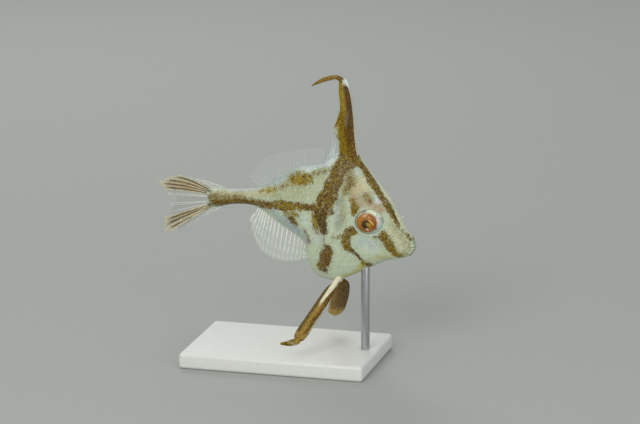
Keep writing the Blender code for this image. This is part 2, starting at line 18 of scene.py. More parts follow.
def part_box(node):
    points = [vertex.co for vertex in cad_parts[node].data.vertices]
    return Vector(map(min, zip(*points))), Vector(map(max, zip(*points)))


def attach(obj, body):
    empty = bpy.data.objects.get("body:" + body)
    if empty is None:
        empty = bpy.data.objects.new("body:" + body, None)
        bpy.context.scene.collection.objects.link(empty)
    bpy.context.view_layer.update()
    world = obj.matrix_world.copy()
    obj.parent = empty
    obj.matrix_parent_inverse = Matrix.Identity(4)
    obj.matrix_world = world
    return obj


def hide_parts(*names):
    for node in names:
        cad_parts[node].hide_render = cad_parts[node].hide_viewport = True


bl_info = {
    "name": "Triplespine display model",
    "version": (1, 0, 0),
    "blender": (4, 5, 0),
    "location": "View3D > Sidebar > Triplespine",
    "description": "Builds the skin, eyes, fins, spines and stand of a life-size triplespine",
    "category": "Add Mesh",
}

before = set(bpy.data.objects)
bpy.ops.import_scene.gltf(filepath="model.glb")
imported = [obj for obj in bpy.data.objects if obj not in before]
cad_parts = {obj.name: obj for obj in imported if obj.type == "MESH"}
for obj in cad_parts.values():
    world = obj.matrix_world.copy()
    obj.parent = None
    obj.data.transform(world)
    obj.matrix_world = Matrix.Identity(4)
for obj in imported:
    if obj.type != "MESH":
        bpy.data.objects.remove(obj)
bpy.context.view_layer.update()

MM = 0.001
# What is smaller than this, in metres or as a share, counts as nothing.
TINY = 1e-7

# The body from the snout back: x and z of the upper edge, x and z of the lower edge,
# half the width, the height of the widest place as a share of the section, and how
# sharply the section closes towards its two ridges.
SECTIONS = (
    (16.85, 16.35, 16.85, 15.6, 0.45, 0.50, 0.8),
    (16.62, 16.95, 16.55, 15.05, 0.75, 0.50, 0.8),
    (16.25, 17.45, 15.85, 14.6, 0.95, 0.50, 0.9),
    (15.45, 18.55, 14.7, 14.25, 1.2, 0.50, 0.95),
    (14.67, 20.0, 13.4, 13.97, 1.45, 0.48, 1.05),
    (13.55, 22.05, 12.2, 13.45, 1.75, 0.48, 1.1),
    (12.13, 23.87, 11.0, 12.86, 2.1, 0.48, 1.15),
    (10.55, 25.97, 9.7, 12.2, 2.4, 0.48, 1.15),
    (9.22, 27.5, 8.25, 11.46, 2.55, 0.48, 1.2),
    (7.5, 27.6, 6.7, 10.86, 2.6, 0.48, 1.2),
    (6.0, 26.95, 5.1, 10.97, 2.5, 0.50, 1.2),
    (4.95, 25.98, 3.95, 11.48, 2.4, 0.50, 1.2),
    (3.8, 25.65, 3.27, 12.36, 2.25, 0.50, 1.2),
    (2.6, 25.5, 2.95, 13.7, 2.05, 0.50, 1.15),
    (1.4, 25.18, 2.62, 15.03, 1.85, 0.50, 1.15),
    (0.35, 24.66, 1.93, 16.13, 1.65, 0.48, 1.1),
    (-0.8, 23.95, 0.5, 17.06, 1.45, 0.46, 1.1),
    (-2.0, 23.15, -1.2, 18.2, 1.25, 0.46, 1.05),
    (-3.1, 22.5, -2.8, 19.35, 1.1, 0.48, 1.0),
    (-4.2, 22.15, -4.2, 19.95, 1.0, 0.50, 1.0),
    (-5.7, 21.98, -5.7, 20.05, 0.9, 0.50, 1.0),
    (-7.3, 21.88, -7.3, 19.9, 0.85, 0.50, 1.0),
    (-8.7, 21.9, -8.7, 19.55, 0.8, 0.50, 1.0),
    (-9.9, 21.85, -9.9, 19.38, 0.45, 0.50, 0.9),
    (-10.35, 21.6, -10.35, 19.55, 0.2, 0.50, 0.9),
)
LAST_SECTION = len(SECTIONS) - 1
# The skin is closed at snout and tail over this share of a section's length, and bulges so far.
CAP_SECTIONS = 0.4
CAP_REACH = 0.12

# The eyes: their middle, half their length, thickness and height, how far they stand out of
# the flank and how deep their sockets are.
EYE_X, EYE_Z = 11.35, 19.2
EYE_RADII = (1.8, 0.85, 1.64)
EYE_BULGE = 0.4
SOCKET_DEPTH = 0.95
# Rings in the skin round each eye: how far each stands out or sinks, then its radius and width
# in eye radii.
EYE_RINGS = ((0.05, 1.07, 0.08), (-0.03, 1.2, 0.06))
# The mouth: its corner and height, and how deep and wide its line is. The folds of the lips are
# rings round a place before it, full at the first radius and gone at the second.
MOUTH_CORNER_X, MOUTH_Z = 16.2, 15.9
GAPE_DEPTH, GAPE_WIDTH = 0.22, 0.06
LIPS_X, LIPS_RADII = 17.15, (0.9, 1.35)
LIP_FOLD, LIP_FOLD_HEIGHT = 0.36, 0.03
# The nostrils, and the raised ring and the pit of each: height, radius and width.
NOSTRILS = ((13.58, 21.0), (14.2, 20.15))
NOSTRIL_RINGS = ((0.06, 0.3, 0.1), (-0.22, 0.0, 0.17))
# The small tube of skin on each side of the snout: its line and its radii.
NOSTRIL_TUBE = ((14.4, 0.5, 19.3), (14.8, 0.55, 19.4), (15.1, 0.6, 19.48), (15.35, 0.62, 19.52))
NOSTRIL_TUBE_RADII = (0.14, 0.13, 0.1, 0.06)
# Within this distance of the eye, and from this place to the snout, the skin has smaller faces.
FINE_ROUND_EYE, FINE_FROM_X = 2.3, 15.2

# Raised and sunken lines of the head: the x and z of their points, how far they stand
# out or sink, and their width.
RELIEF_LINES = {
    "gill slit": (((7.45, 19.0), (7.3, 18.2), (6.95, 17.4), (6.45, 16.7)), -0.2, 0.09),
    "gill cover edge": (((7.7, 19.1), (7.58, 18.2), (7.25, 17.3), (6.75, 16.55)), 0.09, 0.16),
    "cheek line": (((8.4, 15.9), (9.2, 14.9), (10.2, 13.9), (10.9, 13.1)), -0.05, 0.16),
    "snout ridge": (((12.9, 20.7), (14.0, 19.3), (15.2, 17.7), (16.1, 16.9)), 0.07, 0.4),
    "cheek hollow": (((11.2, 16.6), (12.6, 16.2), (13.8, 15.6)), -0.1, 0.9),
    "fold behind the lips": (((16.1, 17.3), (15.62, 16.5), (15.5, 15.8), (15.7, 14.9)), -0.09, 0.13),
    "upper lip": (((16.45, 17.2), (16.2, 16.55), (15.95, 16.2), (15.75, 15.95)), 0.1, 0.22),
    "lower lip": (((16.3, 14.6), (16.15, 15.15), (15.95, 15.5), (15.75, 15.78)), 0.1, 0.22),
    "pectoral base": (((5.75, 17.3), (5.85, 16.6), (5.75, 15.9)), 0.12, 0.3),
}

# Markings on the flank. Each has its strength, how golden and how dark it is, the softness
# of its edge, and strokes with the x and z of each point and half the width. Round each lies a
# fringe of single dots, so strong and so wide.
FRINGE_STRENGTH, FRINGE_WIDTH = 0.22, 0.7
MARKS = {
    "main bar": (1.0, 0.4, 0.3, 0.28, (
        (8.6, 27.3, 1.1), (8.1, 26.6, 1.05), (7.5, 25.8, 1.0), (7.05, 25.0, 0.98), (6.7, 24.0, 0.95),
        (6.35, 23.0, 1.0), (6.0, 22.1, 1.1), (5.55, 21.2, 1.05), (5.3, 20.5, 1.15),
    )),
    "waist of the bar": (1.0, 0.12, 0.7, 0.24, (
        (5.3, 20.3, 0.9), (5.15, 19.6, 0.78), (5.25, 18.9, 0.75), (5.4, 18.2, 0.56), (5.55, 17.6, 0.36),
    )),
    "lobes of the bar": (0.95, 0.2, 0.5, 0.24, ((6.0, 20.5, 0.5), (6.55, 20.35, 0.34))),
    "upper lobe of the bar": (0.95, 0.25, 0.45, 0.24, ((6.4, 22.6, 0.6), (6.95, 22.3, 0.36))),
    "foot of the bar": (0.5, 0.1, 0.5, 0.26, ((5.55, 17.4, 0.3), (5.62, 16.6, 0.24), (5.6, 15.9, 0.3))),
    "spine root": (1.0, 0.35, 0.4, 0.24, ((7.95, 27.4, 0.9), (8.7, 27.1, 0.95), (9.3, 26.7, 0.65))),
    "lower blotch": (1.0, 0.2, 0.15, 0.26, (
        (6.0, 15.6, 0.45), (5.95, 15.0, 0.68), (5.8, 14.5, 0.74), (5.6, 14.0, 0.7), (5.3, 13.4, 0.7),
        (5.2, 12.9, 0.62), (5.4, 12.45, 0.35),
    )),
    "pale corner of the blotch": (0.55, 0.8, 0.0, 0.35, ((4.6, 13.2, 0.3), (4.75, 12.8, 0.3))),
    "flank stripe": (1.0, 0.4, 0.25, 0.26, (
        (-9.2, 20.1, 0.4), (-8.2, 20.2, 0.5), (-7.0, 20.35, 0.42), (-6.0, 20.45, 0.4),
        (-5.0, 20.45, 0.42), (-4.0, 20.42, 0.4), (-3.0, 20.4, 0.42), (-2.0, 20.4, 0.46),
        (-1.0, 20.42, 0.5), (0.0, 20.52, 0.58), (1.0, 20.52, 0.6), (2.0, 20.5, 0.5),
        (3.0, 20.72, 0.34), (4.3, 20.6, 0.45),
    )),
    "warm heart of the stripe": (1.0, 0.95, 0.0, 0.3, (
        (-0.4, 20.5, 0.34), (1.3, 20.5, 0.42), (2.4, 20.4, 0.3),
    )),
    "dust over the stripe": (0.6, 0.35, 0.2, 0.35, (
        (-9.6, 20.6, 0.75), (-8.8, 20.75, 0.7), (-8.0, 20.85, 0.55), (-6.0, 20.95, 0.42),
        (-4.5, 20.95, 0.25),
    )),
    "root of the upper lobe": (0.6, 0.2, 0.6, 0.2, ((-9.8, 21.6, 0.1), (-10.4, 21.65, 0.2))),
    "root of the lower lobe": (0.8, 0.2, 0.6, 0.2, ((-9.2, 19.7, 0.16), (-10.4, 19.65, 0.24))),
    # Painted shadow: a dark spot below the stripe, along an edge in the body.
    "painted shadow below the stripe": (1.0, 0.2, 0.4, 0.26, ((0.9, 19.0, 0.25), (1.3, 18.6, 0.4), (1.7, 18.3, 0.24))),
    "gold below the stripe": (0.8, 0.9, 0.0, 0.4, ((0.6, 19.5, 0.4), (1.7, 19.5, 0.35))),
    "hind edge of the belly": (0.9, 0.2, 0.3, 0.2, (
        (3.05, 17.5, 0.12), (3.3, 16.9, 0.22), (3.5, 16.1, 0.18),
    )),
    "gold beside the bar": (1.0, 0.8, 0.0, 0.26, (
        (4.4, 19.6, 0.34), (4.42, 18.8, 0.36), (4.55, 18.1, 0.38), (4.85, 17.5, 0.2),
    )),
    "forehead band": (1.0, 0.4, 0.3, 0.2, (
        (9.6, 26.8, 0.45), (10.3, 25.88, 0.28), (10.9, 25.05, 0.3), (11.5, 24.15, 0.35), (11.97, 23.4, 0.36),
        (12.57, 22.45, 0.28), (13.05, 21.75, 0.24), (13.5, 21.15, 0.25), (14.0, 20.37, 0.26),
        (14.35, 19.75, 0.22), (14.65, 19.1, 0.18), (14.82, 18.45, 0.14),
    )),
    "blotch behind the eye": (1.0, 0.6, 0.1, 0.26, (
        (9.25, 22.0, 0.26), (9.42, 21.4, 0.4), (9.6, 20.9, 0.46), (9.6, 20.4, 0.35),
    )),
    "spot above the eye": (0.72, 0.7, 0.1, 0.32, ((10.8, 22.6, 0.3), (11.2, 22.0, 0.34))),
    "dark of that spot": (0.8, 0.2, 0.5, 0.2, ((11.15, 21.9, 0.12), (11.5, 21.75, 0.16))),
    "bar behind the eye": (1.0, 0.5, 0.15, 0.24, (
        (9.6, 18.15, 0.42), (8.95, 17.9, 0.5), (8.45, 17.3, 0.5), (8.35, 16.6, 0.46), (8.6, 15.9, 0.48),
        (9.1, 15.45, 0.24),
    )),
    "thread of that bar": (1.0, 0.1, 0.5, 0.14, ((9.0, 15.6, 0.2), (9.7, 14.85, 0.12), (10.2, 14.2, 0.16))),
    "gold on the thread": (0.85, 1.0, 0.0, 0.2, ((10.25, 14.1, 0.18), (10.45, 13.6, 0.26))),
    "end of the thread": (1.0, 0.3, 0.2, 0.24, ((10.75, 13.5, 0.3), (11.1, 13.2, 0.25))),
    "branch of that bar": (0.8, 0.6, 0.1, 0.26, ((7.9, 17.15, 0.3), (7.3, 17.15, 0.2), (6.8, 17.1, 0.1))),
    "bar below the eye": (1.0, 0.5, 0.0, 0.3, (
        (13.05, 18.0, 0.24), (13.05, 17.5, 0.52), (13.42, 16.95, 0.56), (13.75, 16.3, 0.56),
        (14.05, 15.8, 0.5), (14.4, 15.2, 0.4), (14.85, 14.8, 0.27), (15.4, 14.75, 0.15),
    )),
    # Painted shadow: a dark line under the lower margin of the eye.
    "painted shadow under the eye": (0.8, 0.3, 0.4, 0.12, (
        (11.9, 17.3, 0.05), (12.4, 17.35, 0.12), (12.9, 17.5, 0.25),
    )),
    "dust on the jaw": (0.3, 0.7, 0.0, 0.5, ((11.4, 13.9, 0.3), (12.5, 14.35, 0.25), (13.8, 14.4, 0.2))),
    "blotch on the back": (1.0, 0.85, 0.0, 0.45, ((1.3, 23.9, 0.6), (2.4, 24.05, 0.75), (3.3, 24.1, 0.6))),
    "dark dots in that blotch": (0.85, 0.3, 0.5, 0.3, ((2.6, 24.45, 0.2), (3.4, 24.4, 0.25))),
    "trail along the back": (0.65, 0.8, 0.0, 0.42, (
        (-3.3, 21.95, 0.15), (-1.8, 22.3, 0.3), (-0.3, 22.85, 0.32), (0.9, 23.5, 0.35),
    )),
    "trail to the bar": (0.65, 0.5, 0.1, 0.42, ((3.6, 24.5, 0.35), (4.8, 25.05, 0.33), (5.9, 25.5, 0.35))),
    "dust on the nape": (0.75, 0.3, 0.2, 0.7, (
        (8.7, 26.0, 0.3), (8.6, 24.9, 0.45), (8.9, 24.0, 0.5), (8.3, 23.0, 0.3),
    )),
    "dust above the eye": (0.25, 0.4, 0.1, 0.5, ((10.6, 22.7, 0.3), (11.4, 22.1, 0.4))),
    "dust on the flank": (0.16, 0.5, 0.0, 1.0, ((-2.0, 21.6, 0.5), (1.0, 22.2, 0.8), (4.6, 23.0, 0.9))),
    "dust below the stripe": (0.3, 0.5, 0.1, 0.5, (
        (0.5, 19.2, 0.4), (2.2, 18.9, 0.4), (3.9, 19.3, 0.3), (4.2, 17.6, 0.4),
    )),
    "upper snout line": (0.75, 0.5, 0.3, 0.12, ((15.3, 18.15, 0.12), (15.8, 17.7, 0.12), (16.2, 17.3, 0.08))),
    "lower snout line": (0.5, 0.6, 0.2, 0.1, ((15.2, 17.8, 0.06), (15.7, 17.35, 0.08), (16.0, 17.1, 0.05))),
    "dots at the mouth": (0.9, 0.2, 0.5, 0.08, ((16.36, 17.05, 0.06), (16.46, 16.9, 0.06))),
    "spot behind the mouth": (0.4, 0.4, 0.3, 0.1, ((15.6, 16.05, 0.08), (15.75, 16.0, 0.06))),
    "dust behind the cheek": (0.34, 0.2, 0.2, 0.4, ((8.2, 20.2, 0.3), (8.35, 19.5, 0.35))),
    "dust on the snout": (0.2, 0.6, 0.0, 0.45, ((14.9, 18.0, 0.4), (15.8, 16.8, 0.4), (15.8, 15.4, 0.4))),
    "dust on the chin": (0.45, 0.8, 0.0, 0.35, ((14.6, 15.3, 0.4), (15.3, 14.8, 0.3), (16.0, 14.9, 0.2))),
}
# Tints of the ground, laid one over another: the colour's name, its strength, the softness of
# its edge and strokes.
TINTS = (
    # The first tints are partly the olive tone of the skin and partly painted shade: they darken the upper
    # flank, the nape, the skin behind the gill cover, above the eye and along the snout.
    ("olive_and_painted_shade", 0.5, 1.2, ((-1.0, 22.4, 0.5), (2.0, 23.2, 0.9), (4.6, 24.4, 0.7))),
    ("olive_and_painted_shade", 0.4, 1.2, ((0.0, 21.6, 0.5), (4.0, 22.2, 0.8), (8.2, 22.0, 0.6))),
    ("olive_and_painted_shade", 0.55, 0.5, ((-8.5, 21.6, 0.3), (-5.0, 21.6, 0.4), (-1.0, 21.6, 0.5))),
    ("olive_and_painted_shade", 0.75, 0.4, ((-9.5, 20.7, 0.7), (-8.2, 20.8, 0.6), (-6.0, 21.0, 0.45), (-4.2, 21.0, 0.3))),
    ("olive_and_painted_shade", 1.0, 0.7, ((9.1, 26.2, 0.5), (9.1, 25.2, 0.8), (8.9, 24.2, 1.1), (8.6, 23.2, 0.9))),
    ("olive_and_painted_shade", 0.9, 0.6, ((7.7, 21.8, 0.4), (8.0, 20.4, 0.5), (7.6, 18.8, 0.5))),
    ("olive_and_painted_shade", 0.7, 0.5, ((9.6, 22.6, 0.4), (11.2, 22.3, 0.6), (12.6, 21.2, 0.4))),
    ("olive_and_painted_shade", 0.5, 0.5, ((13.9, 19.4, 0.4), (14.9, 17.6, 0.5), (15.6, 16.4, 0.5))),
    ("cream_and_painted_highlight", 0.85, 0.7, ((9.8, 23.3, 0.6), (10.5, 24.2, 0.5), (11.0, 23.4, 0.4))),
    # On the top of the stalk the cream is a painted highlight.
    ("cream_and_painted_highlight", 0.35, 0.35, ((-9.6, 21.4, 0.3), (-6.0, 21.6, 0.35), (-3.0, 21.7, 0.35), (-1.6, 22.1, 0.3))),
    ("cream_and_painted_highlight", 0.5, 0.35, ((13.8, 18.4, 0.3), (14.8, 16.9, 0.4), (15.4, 15.9, 0.4))),
    ("tan", 0.6, 0.3, ((14.5, 15.4, 0.3), (15.2, 15.0, 0.35), (15.9, 15.2, 0.3))),
    ("tan", 0.5, 0.3, ((15.3, 16.9, 0.2), (16.2, 16.4, 0.3), (16.3, 15.8, 0.3))),
    ("frost", 0.8, 0.15, ((-10.35, 20.2, 0.12), (-10.3, 21.3, 0.12))),
    ("frost", 0.45, 0.2, ((-9.4, 21.85, 0.15), (-5.0, 21.95, 0.15))),
    ("tissue", 0.85, 0.3, (
        (3.0, 16.3, 0.3), (2.0, 17.1, 0.5), (1.0, 17.8, 0.6), (0.0, 18.6, 0.65), (-1.0, 19.35, 0.4),
        (-2.4, 19.9, 0.2),
    )),
    ("tissue", 0.8, 0.3, ((1.2, 24.7, 0.4), (0.2, 24.1, 0.42), (-1.0, 23.4, 0.38), (-2.4, 22.7, 0.25))),
    ("tissue", 0.45, 0.5, ((7.6, 21.6, 0.4), (7.4, 20.0, 0.5), (7.5, 18.6, 0.4))),
    ("flush", 0.95, 0.5, ((9.4, 22.6, 0.3), (10.3, 21.5, 0.45), (11.7, 21.35, 0.5), (12.8, 20.7, 0.5))),
    ("flush", 0.4, 0.5, ((10.0, 23.6, 0.4), (10.6, 22.8, 0.4))),
    ("frost", 1.0, 0.25, (
        (6.9, 28.2, 0.35), (6.35, 27.0, 0.4), (5.8, 26.3, 0.36), (4.9, 25.75, 0.26), (3.6, 25.5, 0.3),
        (2.2, 25.3, 0.22),
    )),
    ("frost", 0.9, 0.25, ((12.1, 22.3, 0.22), (12.35, 21.8, 0.26))),
    ("frost", 0.6, 0.5, ((9.3, 25.9, 0.25), (9.7, 25.2, 0.25))),
    ("frost", 0.3, 0.6, ((10.2, 16.6, 0.7), (11.6, 16.0, 0.9))),
    ("tissue", 0.5, 0.5, ((9.9, 16.3, 0.4), (10.8, 16.7, 0.6), (12.0, 16.2, 0.6))),
    ("frost", 0.6, 0.35, ((2.9, 19.3, 0.35), (3.1, 18.6, 0.35))),
    ("frost", 0.5, 0.35, ((4.3, 17.0, 0.3), (4.6, 16.6, 0.3))),
    ("fold", 0.65, 0.12, (
        (16.1, 17.5, 0.1), (16.65, 17.0, 0.14), (16.95, 16.3, 0.14), (16.8, 15.5, 0.14), (16.4, 15.0, 0.12),
    )),
    ("lip", 0.9, 0.07, (
        (16.15, 17.3, 0.04), (16.45, 16.9, 0.07), (16.6, 16.3, 0.07), (16.5, 15.6, 0.07), (16.2, 15.1, 0.04),
    )),
    ("fold", 0.55, 0.08, ((15.9, 16.85, 0.03), (16.22, 16.5, 0.05), (16.3, 16.0, 0.05), (16.15, 15.5, 0.03))),
    ("lip", 0.6, 0.06, ((15.95, 16.4, 0.03), (16.05, 16.0, 0.04), (15.95, 15.6, 0.03))),
    ("frost", 1.0, 0.1, ((15.1, 19.5, 0.12), (15.4, 19.52, 0.1))),
    ("lemon", 0.85, 0.25, ((7.6, 11.45, 0.2), (8.8, 11.95, 0.25), (9.8, 12.7, 0.25), (10.3, 13.6, 0.3))),
    ("lemon", 0.75, 0.3, ((-2.2, 22.15, 0.2), (-1.5, 22.2, 0.22))),
    ("lemon", 0.4, 0.4, ((11.3, 14.2, 0.2), (12.8, 14.6, 0.2), (14.6, 15.0, 0.3))),
)
# The colours of the eye, laid one over another in the same way.
EYE_TINTS = (
    ("violet", 0.8, 0.16, ((9.75, 20.3, 0.1), (10.2, 20.65, 0.2), (10.75, 20.7, 0.22))),
    ("violet", 0.55, 0.16, ((12.9, 19.7, 0.18), (13.1, 19.3, 0.16))),
    ("mint", 0.95, 0.12, ((11.15, 20.8, 0.12), (11.6, 20.65, 0.18), (12.15, 20.25, 0.12))),
    ("blush_and_painted_glint", 0.8, 0.12, ((12.3, 20.0, 0.1), (12.55, 19.5, 0.14), (12.6, 19.1, 0.12))),
    ("teal", 0.85, 0.2, ((12.7, 18.7, 0.2), (12.45, 18.1, 0.25), (12.1, 17.75, 0.15))),
    ("violet", 0.45, 0.16, ((11.6, 17.65, 0.1), (11.0, 17.7, 0.12), (10.4, 17.95, 0.12))),
    ("rim", 0.55, 0.1, ((9.75, 18.55, 0.06), (9.62, 19.1, 0.12), (9.68, 19.7, 0.12), (9.95, 20.2, 0.06))),
    ("iris", 1.0, 0.12, ((11.06, 19.2, 1.24), (11.14, 19.2, 1.24))),
    ("bronze", 0.7, 0.2, ((10.1, 18.6, 0.1), (10.5, 18.15, 0.12), (11.2, 17.95, 0.1), (11.9, 18.1, 0.12))),
    ("fire", 0.9, 0.25, ((10.15, 19.0, 0.1), (10.25, 19.6, 0.2), (10.7, 20.15, 0.22))),
    ("ember", 0.85, 0.2, ((11.5, 20.15, 0.1), (12.05, 19.75, 0.25), (12.2, 19.2, 0.15), (12.15, 18.5, 0.25))),
    ("pupil", 1.0, 0.14, ((11.13, 19.0, 0.6), (11.27, 19.0, 0.6))),
    # Painted reflections in the pupil: olive gold light thrown back from inside it, and an orange patch in
    # its front half.
    ("pupil_reflection", 0.95, 0.18, ((11.2, 19.15, 0.12), (11.45, 19.0, 0.3))),
    ("fire", 0.7, 0.16, ((11.65, 18.95, 0.16), (11.6, 18.55, 0.14))),
    # Painted highlights: bright arcs of reflected light at the pupil's edge.
    ("amber", 0.95, 0.07, ((11.35, 19.62, 0.05), (11.68, 19.42, 0.09), (11.95, 19.05, 0.07))),
    ("amber", 0.5, 0.1, ((11.4, 19.95, 0.08), (11.7, 19.85, 0.06))),
    # Painted highlight: a glint below the pupil.
    ("blush_and_painted_glint", 0.95, 0.08, ((11.15, 18.42, 0.1), (11.28, 18.34, 0.12))),
)
# The pale line down the forehead, as a stroke.
FOREHEAD_EDGE = (
    (9.35, 27.65, 0.06), (10.12, 26.53, 0.06), (11.34, 24.91, 0.06), (12.48, 23.37, 0.09),
    (13.37, 22.22, 0.14), (14.26, 21.06, 0.16), (14.84, 19.4, 0.12), (15.33, 18.71, 0.08),
    (15.9, 18.01, 0.06), (16.4, 17.3, 0.06),
)

# The first dorsal spine in its skin: z, rear x, front x and half the thickness.
SPINE_SHEATH = (
    (25.5, 7.5, 10.3, 1.0),
    (26.3, 7.25, 9.9, 0.98),
    (27.1, 7.05, 9.52, 0.88),
    (28.05, 6.93, 9.27, 0.77),
    (29.0, 6.8, 9.14, 0.72),
    (30.3, 6.22, 9.03, 0.66),
    (31.6, 6.62, 8.92, 0.6),
    (32.9, 7.0, 8.78, 0.54),
    (33.9, 7.0, 8.64, 0.5),
    (35.1, 6.87, 8.43, 0.44),
    (36.1, 6.87, 8.12, 0.36),
    (36.6, 6.95, 7.85, 0.3),
    (36.85, 7.1, 7.6, 0.2),
)
# The bare tip of its bone: x, z and radius.
SPINE_BONE = ((8.1, 35.2, 0.16), (8.0, 35.8, 0.26), (7.8, 36.4, 0.3), (7.65, 36.95, 0.14))
# The flap of skin that trails from the spine's tip: x, z, half its height and half its thickness.
SPINE_FLAP = (
    (7.7, 35.8, 0.25, 0.24),
    (7.35, 36.5, 0.34, 0.24),
    (6.95, 36.92, 0.31, 0.2),
    (6.4, 37.08, 0.28, 0.17),
    (5.6, 36.9, 0.3, 0.15),
    (4.75, 36.6, 0.27, 0.12),
    (3.95, 36.18, 0.17, 0.08),
    (3.35, 35.82, 0.06, 0.04),
)

# Fins: for each ray named, where its root lies along the body's sections, and the
# x and z of its tip.
DORSAL_RAYS = (
    (11.25, 5.3, 28.1),
    (12.5, 3.6, 28.05),
    (14.0, 1.5, 27.65),
    (15.5, -0.5, 27.3),
    (16.8, -2.5, 26.6),
    (17.6, -3.8, 25.3),
    (18.15, -4.9, 23.5),
)
ANAL_RAYS = (
    (14.35, 2.9, 13.4),
    (14.9, 1.8, 13.1),
    (15.7, 0.4, 12.75),
    (16.5, -1.0, 12.8),
    (17.2, -2.4, 13.2),
    (17.8, -3.5, 14.2),
    (18.2, -4.3, 15.8),
    (18.5, -4.9, 18.2),
)
REAR_SPINES = (
    (9.95, 6.5, 28.9),
    (10.2, 6.1, 29.3),
    (10.5, 5.8, 28.1),
    (10.8, 5.5, 27.2),
    (11.1, 5.1, 26.5),
)
DORSAL_RAY_COUNT, ANAL_RAY_COUNT = 22, 17
# How deep inside the body's edge these rays are rooted.
FIN_ROOT = 0.3

# A soft ray splits twice on its way out: where each length starts and ends, and how far
# its threads lie from the ray's own line, as shares of the distance between rays. Then how
# thick the threads of each length are, as a share of the ray.
BRANCHES = (
    (0.0, 0.5, ((0.0, 0.0),)),
    (0.44, 0.8, ((0.0, -0.17), (0.0, 0.17))),
    (0.74, 1.0, ((-0.17, -0.32), (-0.17, -0.1), (0.17, 0.1), (0.17, 0.32))),
)
THREAD_RADIUS = (1.0, 0.72, 0.5)
# The fewest steps along one such length.
FEWEST_STEPS = 6
REAR_SPINE_RADIUS = 0.085
ACROSS_MIDLINE = (0.0, 1.0, 0.0)
# Seeds of the small chances in the lengths of each fin's rays.
ANAL_SEED, DORSAL_SEED, TAIL_SEED = 3, 7, 11

# The tail fin from its upper edge round to its lower: root x, root z, tip x, tip z and
# how far the middle of the ray bows up.
CAUDAL_RAYS = (
    (-8.1, 21.95, -11.3, 22.85, 0.08),
    (-9.3, 21.7, -13.6, 23.2, 0.14),
    (-9.7, 21.35, -15.1, 23.2, 0.3),
    (-9.7, 21.2, -17.15, 22.25, 0.3),
    (-9.7, 21.0, -16.7, 21.5, 0.1),
    (-9.7, 20.75, -16.0, 20.75, 0.0),
    (-9.7, 20.4, -15.9, 20.1, 0.0),
    (-9.7, 20.1, -15.85, 19.2, 0.0),
    (-9.7, 19.9, -16.1, 17.85, 0.0),
    (-9.7, 19.75, -16.75, 16.5, 0.05),
    (-9.6, 19.6, -16.0, 15.6, 0.1),
    (-9.3, 19.6, -13.3, 16.6, -0.08),
    (-8.1, 19.75, -11.0, 18.15, -0.08),
)
# Rays of the tail, by their place among those rows: the first and last of each lobe and how
# many a lobe has, then the clear rays between the lobes and beyond them.
CAUDAL_LOBES = ((1.75, 4.15), (8.3, 10.2))
CAUDAL_LOBE_RAYS = 5
CAUDAL_MIDDLE_RAYS = (4.85, 5.2, 6.75, 7.05, 7.75)
CAUDAL_EDGE_RAYS = (0.0, 0.35, 0.7, 1.0, 11.0, 11.35, 11.7, 12.0)

# The pectoral fin: root x and z on the flank, then tip x and z and how far the tip
# stands off the flank.
PECTORAL_RAYS = (
    (5.55, 17.3, 4.3, 18.9, 0.9),
    (5.6, 16.9, 3.5, 18.0, 1.1),
    (5.65, 16.5, 3.3, 17.0, 1.2),
    (5.6, 16.1, 3.7, 16.0, 1.1),
)
PECTORAL_RAY_COUNT = 10
# How far the whole fin clears the flank, apart from its root.
PECTORAL_OFF = 0.3

# The pelvic spines: the left hip, the radius of the bones, how far from the hip the sheaths
# start, and how far the tips lie from it. Then for places along them the share of their
# length, the blade's reach before and behind its bone and half its thickness.
HIP = (6.9, 0.75, 11.0)
PELVIC_BONE_RADIUS = 0.36
PELVIC_SHEATH_START = 0.5
PELVIC_REACH = {-1: (-3.45, -6.3, -6.25), 1: (-2.4, 6.3, -6.7)}
PELVIC_RIGHT = (
    (0.0, 0.4, 0.45, 0.4),
    (0.12, 0.54, 0.72, 0.42),
    (0.3, 0.68, 0.8, 0.46),
    (0.6, 0.82, 0.82, 0.5),
    (0.85, 0.84, 0.86, 0.48),
    (0.96, 0.76, 0.76, 0.42),
    (1.0, 0.6, 0.55, 0.34),
)
PELVIC_LEFT = (
    (0.0, 1.05, 0.42, 0.38),
    (0.1, 1.32, 0.45, 0.42),
    (0.3, 1.46, 0.6, 0.46),
    (0.55, 1.4, 0.8, 0.46),
    (0.8, 1.2, 0.95, 0.44),
    (0.95, 0.75, 0.9, 0.38),
    (1.0, 0.35, 0.65, 0.3),
)
# The tag of skin on the right spine's tip: how far behind and below it, and half its height.
PELVIC_TAG = (
    (-0.3, -0.4, 0.3),
    (0.1, 0.2, 0.42),
    (0.9, 0.52, 0.4),
    (1.6, 0.66, 0.28),
    (2.3, 0.72, 0.14),
)

# The round at the ends of the stand's rod.
ROD_ROUND = 0.1

# Lights: name, place and size in metres, share of the key light's power and colour.
LIGHTS = (
    ("key", (-0.04, -0.29, 0.19), 0.16, 1.0, (1.0, 0.99, 0.96)),
    ("fill", (0.22, -0.2, 0.06), 0.2, 0.45, (0.97, 0.99, 1.0)),
    ("rim", (-0.12, 0.22, 0.2), 0.16, 0.4, (1.0, 1.0, 1.0)),
)
LIGHTS_AIM = (0.0, 0.0, 0.02)
# Half the width of the floor, in metres.
FLOOR_HALF = 3.0
# The camera starts from a point this high over the middle of the base, and looks this far to
# its own right of it and this far above it.
CAMERA_AIM_Z = 15.0
CAMERA_RIGHT, CAMERA_UP = 4.288, 4.19


def linear(colour):
    """The linear red, green, blue and alpha of an sRGB hex colour."""
    shares = [int(colour[i : i + 2], 16) / 255 for i in (1, 3, 5)]
    return [c / 12.92 if c <= 0.04045 else ((c + 0.055) / 1.055) ** 2.4 for c in shares] + [1.0]


def colour_property(name, colour, description):
    """A colour that a user may change, given as sRGB hex."""
    return FloatVectorProperty(
        name=name,
        description=description,
        subtype="COLOR",
        size=4,
        min=0.0,
        max=1.0,
        default=linear(colour),
    )


